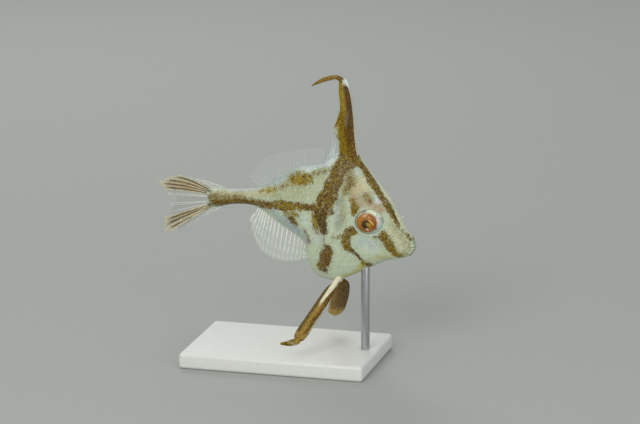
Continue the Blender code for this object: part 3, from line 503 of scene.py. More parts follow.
def length_property(name, millimetres, description):
    """A length that a user may change, given in millimetres."""
    return FloatProperty(
        name=name,
        description=description,
        subtype="DISTANCE",
        unit="LENGTH",
        min=0.0,
        default=millimetres * MM,
    )


class SkinSettings(bpy.types.PropertyGroup):
    """The skin of the body."""

    rings: IntProperty(name="Rings", description="Steps from snout to tail", default=264, min=60)
    sides: IntProperty(name="Sides", description="Steps round the body", default=216, min=40)
    dots: length_property("Dot spacing", 0.155, "Distance between neighbouring pigment dots")
    scales: length_property("Scale width", 0.26, "Width of one of the fine rough scales")
    mint: colour_property("Mint ground", "#BECBB0", "Ground colour of the flank")
    silver: colour_property("Silver ground", "#B9C6B4", "Cooler silvery patches in the ground")
    # Cream of the brow and lips, and the painted highlight along the top of the stalk.
    cream_and_painted_highlight: colour_property("Cream", "#CFC49C", "Cream of the brow, stalk and lips")
    tissue: colour_property("Fin base", "#9FAFB2", "Grey-blue flesh at the roots of the fins")
    flush: colour_property("Flush", "#B0977C", "Pink flush above the eye")
    tan: colour_property("Tan", "#A89C66", "Tan of the chin and lips")
    frost: colour_property("Frost", "#D2DEE2", "Bluish white edge of the back")
    lemon: colour_property("Lemon", "#C3B24A", "Yellow edge of the belly")
    lip: colour_property("Lip", "#C4CCBC", "Greyish white of the lip folds")
    fold: colour_property("Fold", "#7C8062", "Grey olive between the lip folds")
    edge: colour_property("Forehead edge", "#CFCCB4", "Cream line down the forehead")
    # Olive of the fine flecks, and the painted shade laid over the upper flank.
    olive_and_painted_shade: colour_property("Haze", "#97946A", "Olive haze of the upper flank")
    brown: colour_property("Brown", "#6B4500", "Brown of the bars")
    umber: colour_property("Umber", "#3F2500", "Darkest dots in the bars")
    gold: colour_property("Gold", "#A28D18", "Golden dots in the bars")
    olive: colour_property("Olive", "#7E7005", "Olive gold where the dots lie close")


class EyeSettings(bpy.types.PropertyGroup):
    """The two eyes."""

    white: colour_property("Eyeball", "#B9C2B4", "Silvery eyeball round the iris")
    violet: colour_property("Violet", "#76717A", "Purple grey shade at the top of the eyeball")
    mint: colour_property("Mint", "#DDE4C4", "Pale green crescent above the iris")
    # Pink white flecks of the eyeball, and also the painted highlight below the pupil.
    blush_and_painted_glint: colour_property("Blush", "#D9BFB0", "Pink white flecks")
    teal: colour_property("Teal", "#A3BFB6", "Bluish white of the eyeball before the iris")
    rim: colour_property("Rim", "#54401C", "Thin dark ring round the iris")
    iris: colour_property("Iris", "#925F14", "Orange brown of the iris")
    bronze: colour_property("Bronze", "#7C5A30", "Duller brown of its lower edge")
    fire: colour_property("Fire", "#B37408", "Bright orange of its rear")
    ember: colour_property("Ember", "#83440C", "Red brown of the iris towards the snout")
    pupil: colour_property("Pupil", "#3A1F08", "Dark of the pupil")
    # A painted reflection inside the pupil.
    pupil_reflection: colour_property("Glow", "#9C8A2C", "Olive golden light thrown back inside the pupil")
    # Painted highlight at the pupil's edge.
    amber: colour_property("Amber", "#E8B060", "Bright arc of light at the pupil's edge")


class FinSettings(bpy.types.PropertyGroup):
    """The fins and their rays."""

    membrane: length_property("Membrane", 0.05, "Thickness of the skin between the rays")
    anal_ray: length_property("Anal ray", 0.11, "Radius of an anal ray at its root")
    dorsal_ray: length_property("Dorsal ray", 0.045, "Radius of a dorsal ray at its root")
    tail_ray: length_property("Tail ray", 0.085, "Radius of a tail ray at its root")
    pectoral_ray: length_property("Pectoral ray", 0.04, "Radius of a pectoral ray at its root")
    steps: IntProperty(name="Steps", description="Steps along a ray", default=40, min=8)
    white: colour_property("White ray", "#F0F3E8", "Ivory white of the anal rays")
    clear: colour_property("Clear skin", "#C9D4D2", "Tint of the clear membrane")
    web: colour_property("Web", "#A9BCC6", "Bluish skin between the small rear spines")
    straw: colour_property("Straw ray", "#DAD4B2", "Cream of the tail rays")
    stain: colour_property("Stain", "#4C3A08", "Brown between the tail rays")
    rust: colour_property("Rust", "#94701C", "Warm orange brown in the middle of a lobe")


class SpineSettings(bpy.types.PropertyGroup):
    """The dorsal and pelvic spines."""

    steps: IntProperty(name="Steps", description="Steps along a spine", default=150, min=20)
    sides: IntProperty(name="Sides", description="Steps round a spine", default=72, min=12)
    bone: colour_property("Bone", "#E2DCC0", "Ivory of the bare bone")
    growth: colour_property("Growth", "#B98F5A", "Tan clouds in the bone where it grows")
    russet: colour_property("Russet", "#4E2F0A", "Dark red brown of the first spine's front")
    brass: colour_property("Brass", "#9A862E", "Golden olive of its rear")
    bulge: colour_property("Bulge", "#B4BFA0", "Pale green swelling at its rear")
    lilac: colour_property("Lilac", "#85786E", "Lilac grey streak along its middle")
    amber: colour_property("Amber", "#85682A", "Orange brown of the flap on the tip")
    moss: colour_property("Moss", "#57491C", "Dark olive at the root of the flap")
    wood: colour_property("Wood", "#6B4F1C", "Brown of the pelvic spines")
    honey: colour_property("Honey", "#B8964E", "Golden middle and ends of the pelvic spines")
    rim: colour_property("Rim", "#B8AE88", "Pale rim of the pelvic spines")


class StandSettings(bpy.types.PropertyGroup):
    """The plain display stand."""

    edge: length_property("Edge", 0.4, "Radius of the rounded edge of the base")
    base: colour_property("Base", "#D9DAD6", "Pale lacquer of the base")
    steel: colour_property("Steel", "#B9BCBF", "Brushed steel of the rod")


class StageSettings(bpy.types.PropertyGroup):
    """The floor, the lights and the camera."""

    azimuth: FloatProperty(
        name="Azimuth",
        description="Turn of the camera",
        subtype="ANGLE",
        default=math.radians(15),
    )
    elevation: FloatProperty(
        name="Elevation",
        description="Height of the camera as an angle",
        subtype="ANGLE",
        default=math.radians(14),
    )
    distance: length_property("Distance", 406.6, "From the camera to what it looks at")
    lens: FloatProperty(
        name="Lens",
        description="Focal length",
        subtype="DISTANCE_CAMERA",
        default=180.0,
        min=1.0,
    )
    floor: colour_property("Floor", "#A7AAA6", "Pale matt floor")
    key: FloatProperty(
        name="Key light",
        description="Power of the main light",
        subtype="POWER",
        default=0.42,
        min=0.0,
    )


class TriplespineSettings(bpy.types.PropertyGroup):
    """Everything about the model that a user may change."""

    skin: PointerProperty(type=SkinSettings)
    eye: PointerProperty(type=EyeSettings)
    fin: PointerProperty(type=FinSettings)
    spine: PointerProperty(type=SpineSettings)
    stand: PointerProperty(type=StandSettings)
    stage: PointerProperty(type=StageSettings)


def row_at(rows, place):
    """The rows of numbers at these places, counted in rows, on a smooth curve through them all."""
    rows = np.array(rows, float)
    place = np.asarray(place, float)
    last = len(rows) - 1
    i = np.clip(place.astype(int), 0, last - 1)
    t = (place - i)[..., None]
    p, q, r, s = (rows[np.clip(i + k, 0, last)] for k in (-1, 0, 1, 2))
    return q + 0.5 * t * (r - p + t * (2 * p - 5 * q + 4 * r - s + t * (3 * (q - r) + s - p)))


def columns_at(rows, place):
    """The same numbers, column by column."""
    return np.moveaxis(row_at(rows, place), -1, 0)


def smoothstep(low, high, value):
    """From 0 at the first value to 1 at the second, which may be the smaller one."""
    share = np.clip((value - low) / (high - low), 0.0, 1.0)
    return share * share * (3 - 2 * share)


def bell(value, width):
    """From 1 where the value is 0 to nothing a few widths away."""
    return np.exp(-((value / width) ** 2))


def unit(vectors):
    """These vectors, each made one long."""
    return vectors / np.linalg.norm(vectors, axis=-1, keepdims=True)


def outside(x, z, points):
    """How far each place lies outside this stroke, or less than 0 inside it."""
    nearest = np.full(np.shape(x), np.inf)
    for (ax, az, near), (bx, bz, far) in zip(points, points[1:]):
        dx, dz = bx - ax, bz - az
        along = np.clip(((x - ax) * dx + (z - az) * dz) / (dx * dx + dz * dz), 0, 1)
        away = np.hypot(x - ax - along * dx, z - az - along * dz)
        nearest = np.minimum(nearest, away - near - along * (far - near))
    return nearest


def cover(x, z, points, soft):
    """How strongly this stroke covers each place, from 0 to 1, fading over a soft edge."""
    return 1 - smoothstep(-soft, soft, outside(x, z, points))


def paint_over(colours, share, colour):
    """Lays this colour over the others, as strongly as the share says."""
    colours += np.asarray(share)[:, None] * (np.array(colour) - colours)


def paint_tints(colours, x, z, tints, settings):
    """Lays all of these tints over the colours, in their order."""
    for name, strength, soft, points in tints:
        paint_over(colours, strength * cover(x, z, points, soft), getattr(settings, name))


def body_surface(place, turn):
    """Points on the body at these places along its sections and turns round them from the top."""
    top_x, top_z, low_x, low_z, half_width, widest, ridge = columns_at(SECTIONS, place)
    height = np.maximum(0.5 + 0.5 * np.cos(turn), 0.0) ** (np.log(widest) / math.log(0.5))
    width = half_width * np.sign(np.sin(turn)) * np.abs(np.sin(turn)) ** ridge
    return np.stack([low_x + (top_x - low_x) * height, width, low_z + (top_z - low_z) * height], -1)


def body_edge(place, upper, away):
    """Points this far outside the body's upper or lower edge, at places along its sections."""
    first = 0 if upper else 2
    place = np.asarray(place, float)
    step_back = 0.05
    here = row_at(SECTIONS, place)[..., first : first + 2]
    behind = row_at(SECTIONS, place + step_back)[..., first : first + 2]
    along = unit(behind - here)
    out = np.stack([along[..., 1], -along[..., 0]], -1) * (1 if upper else -1)
    point = here + out * away
    return np.stack([point[..., 0], np.zeros(point.shape[:-1]), point[..., 1]], -1)


def flank(x, z):
    """How far the skin stands out from the midplane beside these places."""
    x, z = np.asarray(x, float), np.asarray(z, float)
    near, far = np.zeros(x.shape), np.full(x.shape, float(LAST_SECTION))
    halvings = 24
    for _ in range(halvings):
        middle = (near + far) / 2
        top_x, top_z, low_x, low_z = columns_at(SECTIONS, middle)[:4]
        ahead = (x - low_x) * (top_z - low_z) - (z - low_z) * (top_x - low_x) > 0
        near, far = np.where(ahead, near, middle), np.where(ahead, middle, far)
    top_x, top_z, low_x, low_z, half_width, widest, ridge = columns_at(SECTIONS, near)
    height = np.clip((z - low_z) / (top_z - low_z), 0.0, 1.0)
    turn = np.arccos(2 * height ** (math.log(0.5) / np.log(widest)) - 1)
    return half_width * np.sin(turn) ** ridge


def rounded_ends(share, first, last):
    """How far a closed form is drawn in at each place along it, from 0 at its tips to 1."""
    past_first = (first - share) / max(first, TINY)
    past_last = (share - 1 + last) / max(last, TINY)
    over = np.maximum(np.maximum(past_first, past_last), 0)
    return np.sqrt(np.maximum(1 - over * over, 0))


def bend_grid(bm, along, around, shape):
    """Adds a grid of so many steps, bent to shape(s, t) in millimetres, and closes its seams."""
    made = bmesh.ops.create_grid(bm, x_segments=along, y_segments=around, size=0.5)["verts"]
    shares = np.array([vert.co[:2] for vert in made]) + 0.5
    for vert, point in zip(made, shape(shares[:, 0], shares[:, 1]) * MM):
        vert.co = point
    bmesh.ops.remove_doubles(bm, verts=made, dist=TINY)


def add_strand(bm, path, radii, aside, sides, flat=1.0):
    """Adds a round thread along a path of points, drawn to a point at both its ends."""
    path, radii = np.array(path), np.array(radii)
    along = unit(np.gradient(path, axis=0))
    across = unit(np.cross(along, aside))
    through = np.cross(across, along)
    steps = len(path) - 1

    def shape(s, t):
        i = np.rint(s * steps).astype(int)
        ends = np.where((i == 0) | (i == steps), 0.0, 1.0)
        radius = (radii[i] * ends)[:, None]
        turn = math.tau * t[:, None]
        return path[i] + radius * (across[i] * np.cos(turn) + flat * through[i] * np.sin(turn))

    bend_grid(bm, steps, sides, shape)


def fill_inputs(tree, node, inputs):
    """Puts these values in a node's inputs, or links to them.

    An input goes by its name, or by its number where several share a name. In a Map Range the
    value is 0, the range it comes from 1 and 2 and the range it goes to 3 and 4. In a Mix of
    colours the share is 0 and the colours are 6 and 7.
    """
    for name, value in inputs.items():
        if isinstance(value, bpy.types.NodeSocket):
            tree.links.new(value, node.inputs[name])
        else:
            node.inputs[name].default_value = value


def add_node(tree, kind, inputs=None, **settings):
    """Adds a node with these settings and inputs, and gives its outputs."""
    node = tree.nodes.new(kind)
    for name, value in settings.items():
        setattr(node, name, value)
    fill_inputs(tree, node, inputs or {})
    return node.outputs


def new_material(name):
    """A material with only its shader, and what adds nodes to it and fills the shader's inputs."""
    material = bpy.data.materials.new(name)
    material.use_nodes = True
    tree = material.node_tree
    return material, partial(add_node, tree), partial(fill_inputs, tree, tree.nodes["Principled BSDF"])


def set_mask(mesh, name, x, y, z):
    """Keeps three numbers for each point of a mesh, for its material to read."""
    layer = mesh.attributes.new(name, "FLOAT_VECTOR", "POINT")
    layer.data.foreach_set("vector", np.stack([x, y, z], -1).astype(np.float32).ravel())


def set_ground(mesh, colours):
    """Keeps a ground colour for each point of a mesh, for its material to read."""
    layer = mesh.attributes.new("ground", "FLOAT_COLOR", "POINT")
    layer.data.foreach_set("color", colours.astype(np.float32).ravel())


def points_of(mesh):
    """The points of a mesh, in millimetres."""
    points = np.empty(len(mesh.vertices) * 3, np.float32)
    mesh.vertices.foreach_get("co", points)
    return points.reshape(-1, 3).astype(float) / MM


def add_piece(name, bm, material, slot, *nodes):
    """An object of this mesh that rides with the fish, takes this finish and stands for these nodes."""
    bmesh.ops.recalc_face_normals(bm, faces=bm.faces)
    mesh = bpy.data.meshes.new(name)
    bm.to_mesh(mesh)
    bm.free()
    mesh.shade_smooth()
    mesh.materials.append(material)
    piece = bpy.data.objects.new(name, mesh)
    bpy.context.scene.collection.objects.link(piece)
    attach(piece, "root")
    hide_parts(*nodes)
    return piece


def add_dots(add, place, spacing, size, smallest, largest):
    """Round dots this far apart: how far inside its dot each place lies, and a chance for each dot.

    Each dot has the size that is asked for, times a chance between the smallest and the largest.
    """
    cells = add("ShaderNodeTexVoronoi", {"Vector": place, "Scale": 1 / spacing})
    drawn = add("ShaderNodeSeparateColor", {0: cells["Color"]})
    chance = add("ShaderNodeMapRange", {0: drawn[0], 1: 0.0, 2: 1.0, 3: smallest, 4: largest})[0]
    radius = add("ShaderNodeMath", {0: size, 1: chance}, operation="MULTIPLY")[0]
    room = add("ShaderNodeMath", {0: radius, 1: cells["Distance"]}, operation="SUBTRACT")[0]
    return room, drawn[1]


def pigment_material(name, skin, coat, mottle=1.0):
    """Moist fish skin: its ground seen through clear slime, under dots of brown and gold.

    The attribute "ground" holds the colour of the ground, and the mask "pigment" how much
    brown each place carries, and how golden and how dark it is.
    """
    material, add, fill = new_material(name)
    place = add("ShaderNodeTexCoord")["Object"]
    mask = add("ShaderNodeAttribute", attribute_name="pigment")["Vector"]
    amount, golden, dark = add("ShaderNodeSeparateXYZ", {0: mask})
    colour = add("ShaderNodeAttribute", attribute_name="ground")["Color"]

    # A fine mottle: patches about half a millimetre wide turn silvery and lighter or darker,
    # and flecks a quarter as wide turn olive.
    patch = add("ShaderNodeTexNoise", {"Vector": place, "Scale": 1 / (0.55 * MM), "Detail": 4.0})[0]
    fleck = add("ShaderNodeTexNoise", {"Vector": place, "Scale": 1 / (0.14 * MM), "Detail": 2.0})[0]
    share = add("ShaderNodeMapRange", {0: patch, 1: 0.5, 2: 0.72, 3: 0.0, 4: 0.5 * mottle})[0]
    colour = add("ShaderNodeMix", {0: share, 6: colour, 7: skin.silver}, data_type="RGBA")[2]
    share = add("ShaderNodeMapRange", {0: fleck, 1: 0.5, 2: 0.7, 3: 0.0, 4: 0.45 * mottle})[0]
    colour = add("ShaderNodeMix", {0: share, 6: colour, 7: skin.olive_and_painted_shade}, data_type="RGBA")[2]
    light = add("ShaderNodeMapRange", {0: patch, 1: 0.25, 2: 0.75, 3: 0.9, 4: 1.12})[0]
    colour = add("ShaderNodeHueSaturation", {"Value": light, "Color": colour})[0]

    # Each dot is one pigment cell and grows with the mask: the dots run together in a bar and
    # stand apart in the dust round it. Real ones are smaller and closer, so they are drawn as
    # far apart as they must be to show in the picture.
    rough = add("ShaderNodeMapRange", {0: patch, 1: 0.3, 2: 0.7, 3: 0.65, 4: 1.35})[0]
    amount = add("ShaderNodeMath", {0: amount, 1: rough}, operation="MULTIPLY", use_clamp=True)[0]
    size = add("ShaderNodeMath", {0: amount, 1: 0.38}, operation="POWER")[0]
    room, chance = add_dots(add, place, skin.dots, size, 0.56, 0.86)
    filled = add("ShaderNodeMapRange", {0: room, 1: 0.0, 2: 0.16, 3: 0.0, 4: 1.0})[0]
    faint = add("ShaderNodeMapRange", {0: amount, 1: 0.0, 2: 0.7, 3: 0.62, 4: 1.0})[0]
    filled = add("ShaderNodeMath", {0: filled, 1: faint}, operation="MULTIPLY")[0]
    solid = add("ShaderNodeMapRange", {0: amount, 1: 0.3, 2: 0.95, 3: 0.0, 4: 0.9})[0]
    filled = add("ShaderNodeMath", {0: filled, 1: solid}, operation="MAXIMUM")[0]

    # Inside a bar the brown deepens to umber from cell to cell and from patch to patch.
    shade = add("ShaderNodeMapRange", {0: chance, 1: 0.0, 2: 1.0, 3: -0.3, 4: 0.75})[0]
    clump = add("ShaderNodeMapRange", {0: patch, 1: 0.3, 2: 0.7, 3: -0.3, 4: 0.3})[0]
    shade = add("ShaderNodeMath", {0: shade, 1: clump}, operation="ADD")[0]
    shade = add("ShaderNodeMath", {0: shade, 1: dark}, operation="ADD", use_clamp=True)[0]
    bar = add("ShaderNodeMix", {0: shade, 6: skin.brown, 7: skin.umber}, data_type="RGBA")[2]

    # Golden dots of their own pattern lie over the brown, larger where the mask says gold.
    size = add("ShaderNodeMapRange", {0: golden, 1: 0.0, 2: 1.0, 3: 0.2, 4: 0.82})[0]
    room, chance = add_dots(add, place, 1.1 * skin.dots, size, 0.6, 1.2)
    gleam = add("ShaderNodeMapRange", {0: room, 1: -0.12, 2: 0.16, 3: 0.0, 4: 0.9})[0]
    gold = add("ShaderNodeMix", {0: chance, 6: skin.gold, 7: skin.olive}, data_type="RGBA")[2]
    bar = add("ShaderNodeMix", {0: gleam, 6: bar, 7: gold}, data_type="RGBA")[2]
    colour = add("ShaderNodeMix", {0: filled, 6: colour, 7: bar}, data_type="RGBA")[2]

    # Fine rough scales under the slime, drawn wider than the real ones so that they show.
    scales = add("ShaderNodeTexVoronoi", {"Vector": place, "Scale": 1 / skin.scales})["Distance"]
    height = add("ShaderNodeMath", {0: scales, 1: patch}, operation="ADD")[0]
    fill({
        "Base Color": colour,
        "Normal": add("ShaderNodeBump", {"Strength": 0.35, "Distance": 0.03 * MM, "Height": height})[0],
        "Roughness": add("ShaderNodeMapRange", {0: patch, 1: 0.3, 2: 0.7, 3: 0.34, 4: 0.52})[0],
        "Specular IOR Level": 0.15,
        "Coat Weight": coat,
        "Coat Roughness": 0.14,
        "Subsurface Weight": 0.12,
        "Subsurface Scale": 0.4 * MM,
    })
    return material


def skin_detail(bm):
    """Splits the faces round the eyes and at the mouth, so that their small forms come out clean."""
    fine = []
    for edge in bm.edges:
        middle = (edge.verts[0].co + edge.verts[1].co) / (2 * MM)
        away = math.hypot(middle.x - EYE_X, middle.z - EYE_Z)
        if away < FINE_ROUND_EYE or middle.x > FINE_FROM_X:
            fine.append(edge)
    bmesh.ops.subdivide_edges(bm, edges=fine, cuts=1, use_grid_fill=True)


def eye_radii_away(x, z):
    """How far each place lies from the middle of the eye, in eye radii."""
    return np.hypot((x - EYE_X) / EYE_RADII[0], (z - EYE_Z) / EYE_RADII[2])


def ringed(away, rings):
    """How far these rings stand out at each distance from their middle."""
    return sum(height * bell(away - radius, width) for height, radius, width in rings)


def skin_relief(x, z):
    """How far the skin stands out at each place on the flank, in millimetres."""
    from_eye = eye_radii_away(x, z)
    relief = -SOCKET_DEPTH * (1 - smoothstep(0.84, 1.0, from_eye))
    relief += ringed(from_eye, EYE_RINGS)
    for points, height, width in RELIEF_LINES.values():
        relief += height * bell(outside(x, z, [(px, pz, 0.0) for px, pz in points]), width)
    for px, pz in NOSTRILS:
        relief += ringed(np.hypot(x - px, z - pz), NOSTRIL_RINGS)
    from_lips = np.hypot(x - LIPS_X, z - MOUTH_Z)
    folds = np.sin(math.tau * from_lips / LIP_FOLD)
    relief += LIP_FOLD_HEIGHT * folds * smoothstep(LIPS_RADII[1], LIPS_RADII[0], from_lips)
    opens = smoothstep(MOUTH_CORNER_X - 0.2, MOUTH_CORNER_X + 0.25, x)
    return relief - GAPE_DEPTH * bell(z - MOUTH_Z, GAPE_WIDTH) * opens


def wander(x, z):
    """A slow drift of the markings' outlines, so that none runs straight."""
    dx = 0.07 * np.sin(2.7 * z + 1.1 * x) + 0.05 * np.sin(6.1 * z - 3.7 * x + 1.0)
    dz = 0.07 * np.sin(2.3 * x - 1.3 * z + 2.0) + 0.05 * np.sin(5.9 * x + 4.1 * z)
    return x + dx, z + dz


def mark_skin(mesh, skin):
    """Lays the markings and the tints of the ground on the skin."""
    x, y, z = points_of(mesh).T
    mx, mz = wander(x, z)
    lid = smoothstep(1.12, 1.0, eye_radii_away(x, z))
    edge = cover(x, z, FOREHEAD_EDGE, 0.1)
    amount, golden, dark, weight = (np.zeros(len(x)) for _ in range(4))
    for strength, gold, deep, soft, points in MARKS.values():
        away = outside(mx, mz, points)
        here = 1 - smoothstep(-soft - 0.02, soft + 0.2, away)
        fringe = FRINGE_STRENGTH * smoothstep(soft + FRINGE_WIDTH, soft, away)
        amount = np.maximum(amount, strength * np.maximum(here, fringe))
        golden += gold * here**4
        dark += deep * here**4
        weight += here**4
    weight = np.maximum(weight, TINY)
    set_mask(mesh, "pigment", amount * (1 - lid) * (1 - edge), golden / weight, dark / weight)

    colours = np.tile(skin.mint, (len(x), 1))
    paint_tints(colours, mx, mz, TINTS, skin)
    # Thin flesh at the ridge of back and belly lets light through and looks bluer.
    ridge = smoothstep(0.8, 0.15, np.abs(y)) * smoothstep(13.5, 12.0, x) * smoothstep(-8.5, -6.0, x)
    paint_over(colours, 0.6 * ridge, skin.tissue)
    paint_over(colours, 0.25 * lid, skin.tissue)
    paint_over(colours, 0.8 * edge, skin.edge)
    set_ground(mesh, colours)


class TRIPLESPINE_OT_skin(bpy.types.Operator):
    """Build the one skin of head, trunk and stalk, with its mouth, gill slits and markings"""

    bl_idname = "triplespine.skin"
    bl_label = "Skin"

    def execute(self, context):
        settings = context.scene.triplespine.skin
        span = LAST_SECTION + 2 * CAP_SECTIONS
        cap = CAP_SECTIONS / span

        def shape(s, t):
            run = s * span - CAP_SECTIONS
            place = np.clip(run, 0, LAST_SECTION)
            drawn = rounded_ends(s, cap, cap)[:, None]
            points = body_surface(place, math.tau * t)
            top_x, top_z, low_x, low_z = columns_at(SECTIONS, place)[:4]
            middle = np.stack([(top_x + low_x) / 2, 0 * place, (top_z + low_z) / 2], -1)
            points = middle + (points - middle) * drawn
            points[:, 0] += CAP_REACH * (place - run) / CAP_SECTIONS
            return points

        bm = bmesh.new()
        bend_grid(bm, settings.rings, settings.sides, shape)
        skin_detail(bm)
        bmesh.ops.recalc_face_normals(bm, faces=bm.faces)
        bm.normal_update()
        points = np.array([vert.co for vert in bm.verts]) / MM
        normals = np.array([vert.normal for vert in bm.verts])
        points += normals * skin_relief(points[:, 0], points[:, 2])[:, None]
        for vert, point in zip(bm.verts, points * MM):
            vert.co = point
        for side in (-1, 1):
            tube = np.array(NOSTRIL_TUBE) * (1, side, 1)
            add_strand(bm, tube, NOSTRIL_TUBE_RADII, (0, 0, 1), 12)
        material = pigment_material("moist_silvery_skin", settings, 0.06)
        piece = add_piece("body_skin", bm, material, "skin", "head", "trunk", "tail_stalk")
        mark_skin(piece.data, settings)
        return {"FINISHED"}


def eye_place(side):
    """The centre of an eye and how far it turns forward with the cheek."""
    reach = 1.5
    slope = float(flank(EYE_X - reach, EYE_Z) - flank(EYE_X + reach, EYE_Z)) / (2 * reach)
    out = float(flank(EYE_X, EYE_Z)) + EYE_BULGE - EYE_RADII[1]
    return Vector((EYE_X, side * out, EYE_Z)), -side * math.atan(slope)


def eye_material():
    """A fish's eye under its clear wet cornea, with fine grains of pigment in its colours."""
    material, add, fill = new_material("glossy_orange_eye")
    place = add("ShaderNodeTexCoord")["Object"]
    grain = add("ShaderNodeTexNoise", {"Vector": place, "Scale": 1 / (0.16 * MM), "Detail": 3.0})[0]
    light = add("ShaderNodeMapRange", {0: grain, 1: 0.25, 2: 0.75, 3: 0.72, 4: 1.3})[0]
    colour = add("ShaderNodeAttribute", attribute_name="ground")["Color"]
    fill({
        "Base Color": add("ShaderNodeHueSaturation", {"Value": light, "Color": colour})[0],
        "Normal": add("ShaderNodeBump", {"Strength": 0.2, "Distance": 0.02 * MM, "Height": grain})[0],
        "Roughness": 0.35,
        "Specular IOR Level": 0.3,
        "Coat Weight": 0.35,
        "Coat Roughness": 0.05,
    })
    return material


class TRIPLESPINE_OT_eyes(bpy.types.Operator):
    """Build the two eyes"""

    bl_idname = "triplespine.eyes"
    bl_label = "Eyes"

    def execute(self, context):
        settings = context.scene.triplespine.eye
        material = eye_material()
        for side, name in ((-1, "right"), (1, "left")):
            centre, turn = eye_place(side)
            bm = bmesh.new()
            bmesh.ops.create_uvsphere(bm, u_segments=128, v_segments=96, radius=1.0)
            place = (
                Matrix.Scale(MM, 4)
                @ Matrix.Translation(centre)
                @ Matrix.Rotation(turn, 4, "Z")
                @ Matrix.Diagonal((*EYE_RADII, 1.0))
                @ Matrix.Rotation(-side * math.pi / 2, 4, "X")
            )
            bmesh.ops.transform(bm, matrix=place, verts=bm.verts)
            piece = add_piece(f"{name}_eye", bm, material, "eye", f"eye_{name}")
            x, _, z = points_of(piece.data).T
            colours = np.tile(settings.white, (len(x), 1))
            paint_tints(colours, x, z, EYE_TINTS, settings)
            set_ground(piece.data, colours)
        return {"FINISHED"}


def midline_surface(rays, upper):
    """Where a fin along the body's edge lies: its points at a row and a share of the way out."""

    def surface(row, reach):
        place, tip_x, tip_z = columns_at(rays, row)
        root = body_edge(place, upper, -FIN_ROOT)
        tip = np.stack([tip_x, np.zeros_like(tip_x), tip_z], -1)
        return root + (tip - root) * np.asarray(reach)[..., None]

    return surface


def caudal_surface(row, reach):
    """Where the tail fin lies, at a row and a share of the way out."""
    root_x, root_z, tip_x, tip_z, bow = columns_at(CAUDAL_RAYS, row)
    reach = np.asarray(reach)
    x = root_x + (tip_x - root_x) * reach
    z = root_z + (tip_z - root_z) * reach + bow * np.sin(math.pi * np.clip(reach, 0, 1))
    return np.stack([x, np.zeros_like(x), z], -1)


def pectoral_surface(side):
    """Where a pectoral fin lies: its points at a row and a share of the way out."""

    def surface(row, reach):
        root_x, root_z, tip_x, tip_z, stand_off = columns_at(PECTORAL_RAYS, row)
        x = root_x + (tip_x - root_x) * reach
        z = root_z + (tip_z - root_z) * reach
        out = flank(x, z) + PECTORAL_OFF * smoothstep(0.0, 0.35, reach) + stand_off * reach
        return np.stack([x, side * out, z], -1)

    return surface


def add_ray(bm, surface, row, spacing, radius, steps, reach, aside, joints=26):
    """Adds one jointed soft ray that splits into threads towards the fin's edge."""
    for (start, end, threads), thin in zip(BRANCHES, THREAD_RADIUS):
        share = np.linspace(start, end, max(int(steps * (end - start)), FEWEST_STEPS))
        bead = 1 + (0.03 + 0.16 * share) * np.cos(math.tau * joints * share)
        radii = radius * thin * (1 - 0.45 * share) * bead
        for first, last in threads:
            rows = row + spacing * (first + (last - first) * smoothstep(start, end, share))
            add_strand(bm, surface(rows, share * reach), radii, aside, 6)


def membrane(surface, rows, steps, edge, pleat, aside, thickness):
    """The thin skin between rays, pleated across and closed all round."""
    low, high = rows

    def sheet(s, t):
        row = low + (high - low) * s
        fold = pleat(row, t)[:, None] * np.asarray(aside, float)
        return surface(row, edge(row) * t) + fold

    bm = bmesh.new()
    bend_grid(bm, steps[0], steps[1], sheet)
    bmesh.ops.solidify(bm, geom=bm.faces[:], thickness=thickness)
    return bm


def clear_material(name, fin, alpha):
    """Fin membrane: clear wet skin, here thicker than the real one so that it shows as a faint film."""
    material, add, fill = new_material(name)
    place = add("ShaderNodeTexCoord")["Object"]
    cloud = add("ShaderNodeTexNoise", {"Vector": place, "Scale": 1 / (0.8 * MM), "Detail": 3.0})[0]
    fill({
        "Base Color": add("ShaderNodeMix", {0: cloud, 6: fin.clear, 7: fin.white}, data_type="RGBA")[2],
        "Normal": add("ShaderNodeBump", {"Strength": 0.3, "Distance": 0.02 * MM, "Height": cloud})[0],
        "Roughness": 0.25,
        "Alpha": alpha,
    })
    return material


def ray_material(fin, name, pale, dark, share, alpha):
    """Jointed bone of a fin ray: pale, half clear and a little glossy under its skin.

    Where a piece has the mask "fade", it thins the rays of the clear fins towards their tips and
    darkens the roots of the tail's.
    """
    material, add, fill = new_material(name)
    place = add("ShaderNodeTexCoord")["Object"]
    cloud = add("ShaderNodeTexNoise", {"Vector": place, "Scale": 1 / (0.25 * MM), "Detail": 2.0})[0]
    cloud = add("ShaderNodeMapRange", {0: cloud, 1: 0.5, 2: 0.7, 3: 0.0, 4: share})[0]
    fade = add("ShaderNodeAttribute", attribute_name="fade")["Vector"]
    fade, dusk, _ = add("ShaderNodeSeparateXYZ", {0: fade})
    colour = add("ShaderNodeMix", {0: cloud, 6: pale, 7: dark}, data_type="RGBA")[2]
    fill({
        "Base Color": add("ShaderNodeMix", {0: dusk, 6: colour, 7: fin.stain}, data_type="RGBA")[2],
        "Roughness": 0.35,
        "Subsurface Weight": 0.2,
        "Subsurface Scale": 0.3 * MM,
        "Alpha": add("ShaderNodeMapRange", {0: fade, 1: 0.0, 2: 1.0, 3: alpha, 4: 0.15 * alpha})[0],
    })
    return material


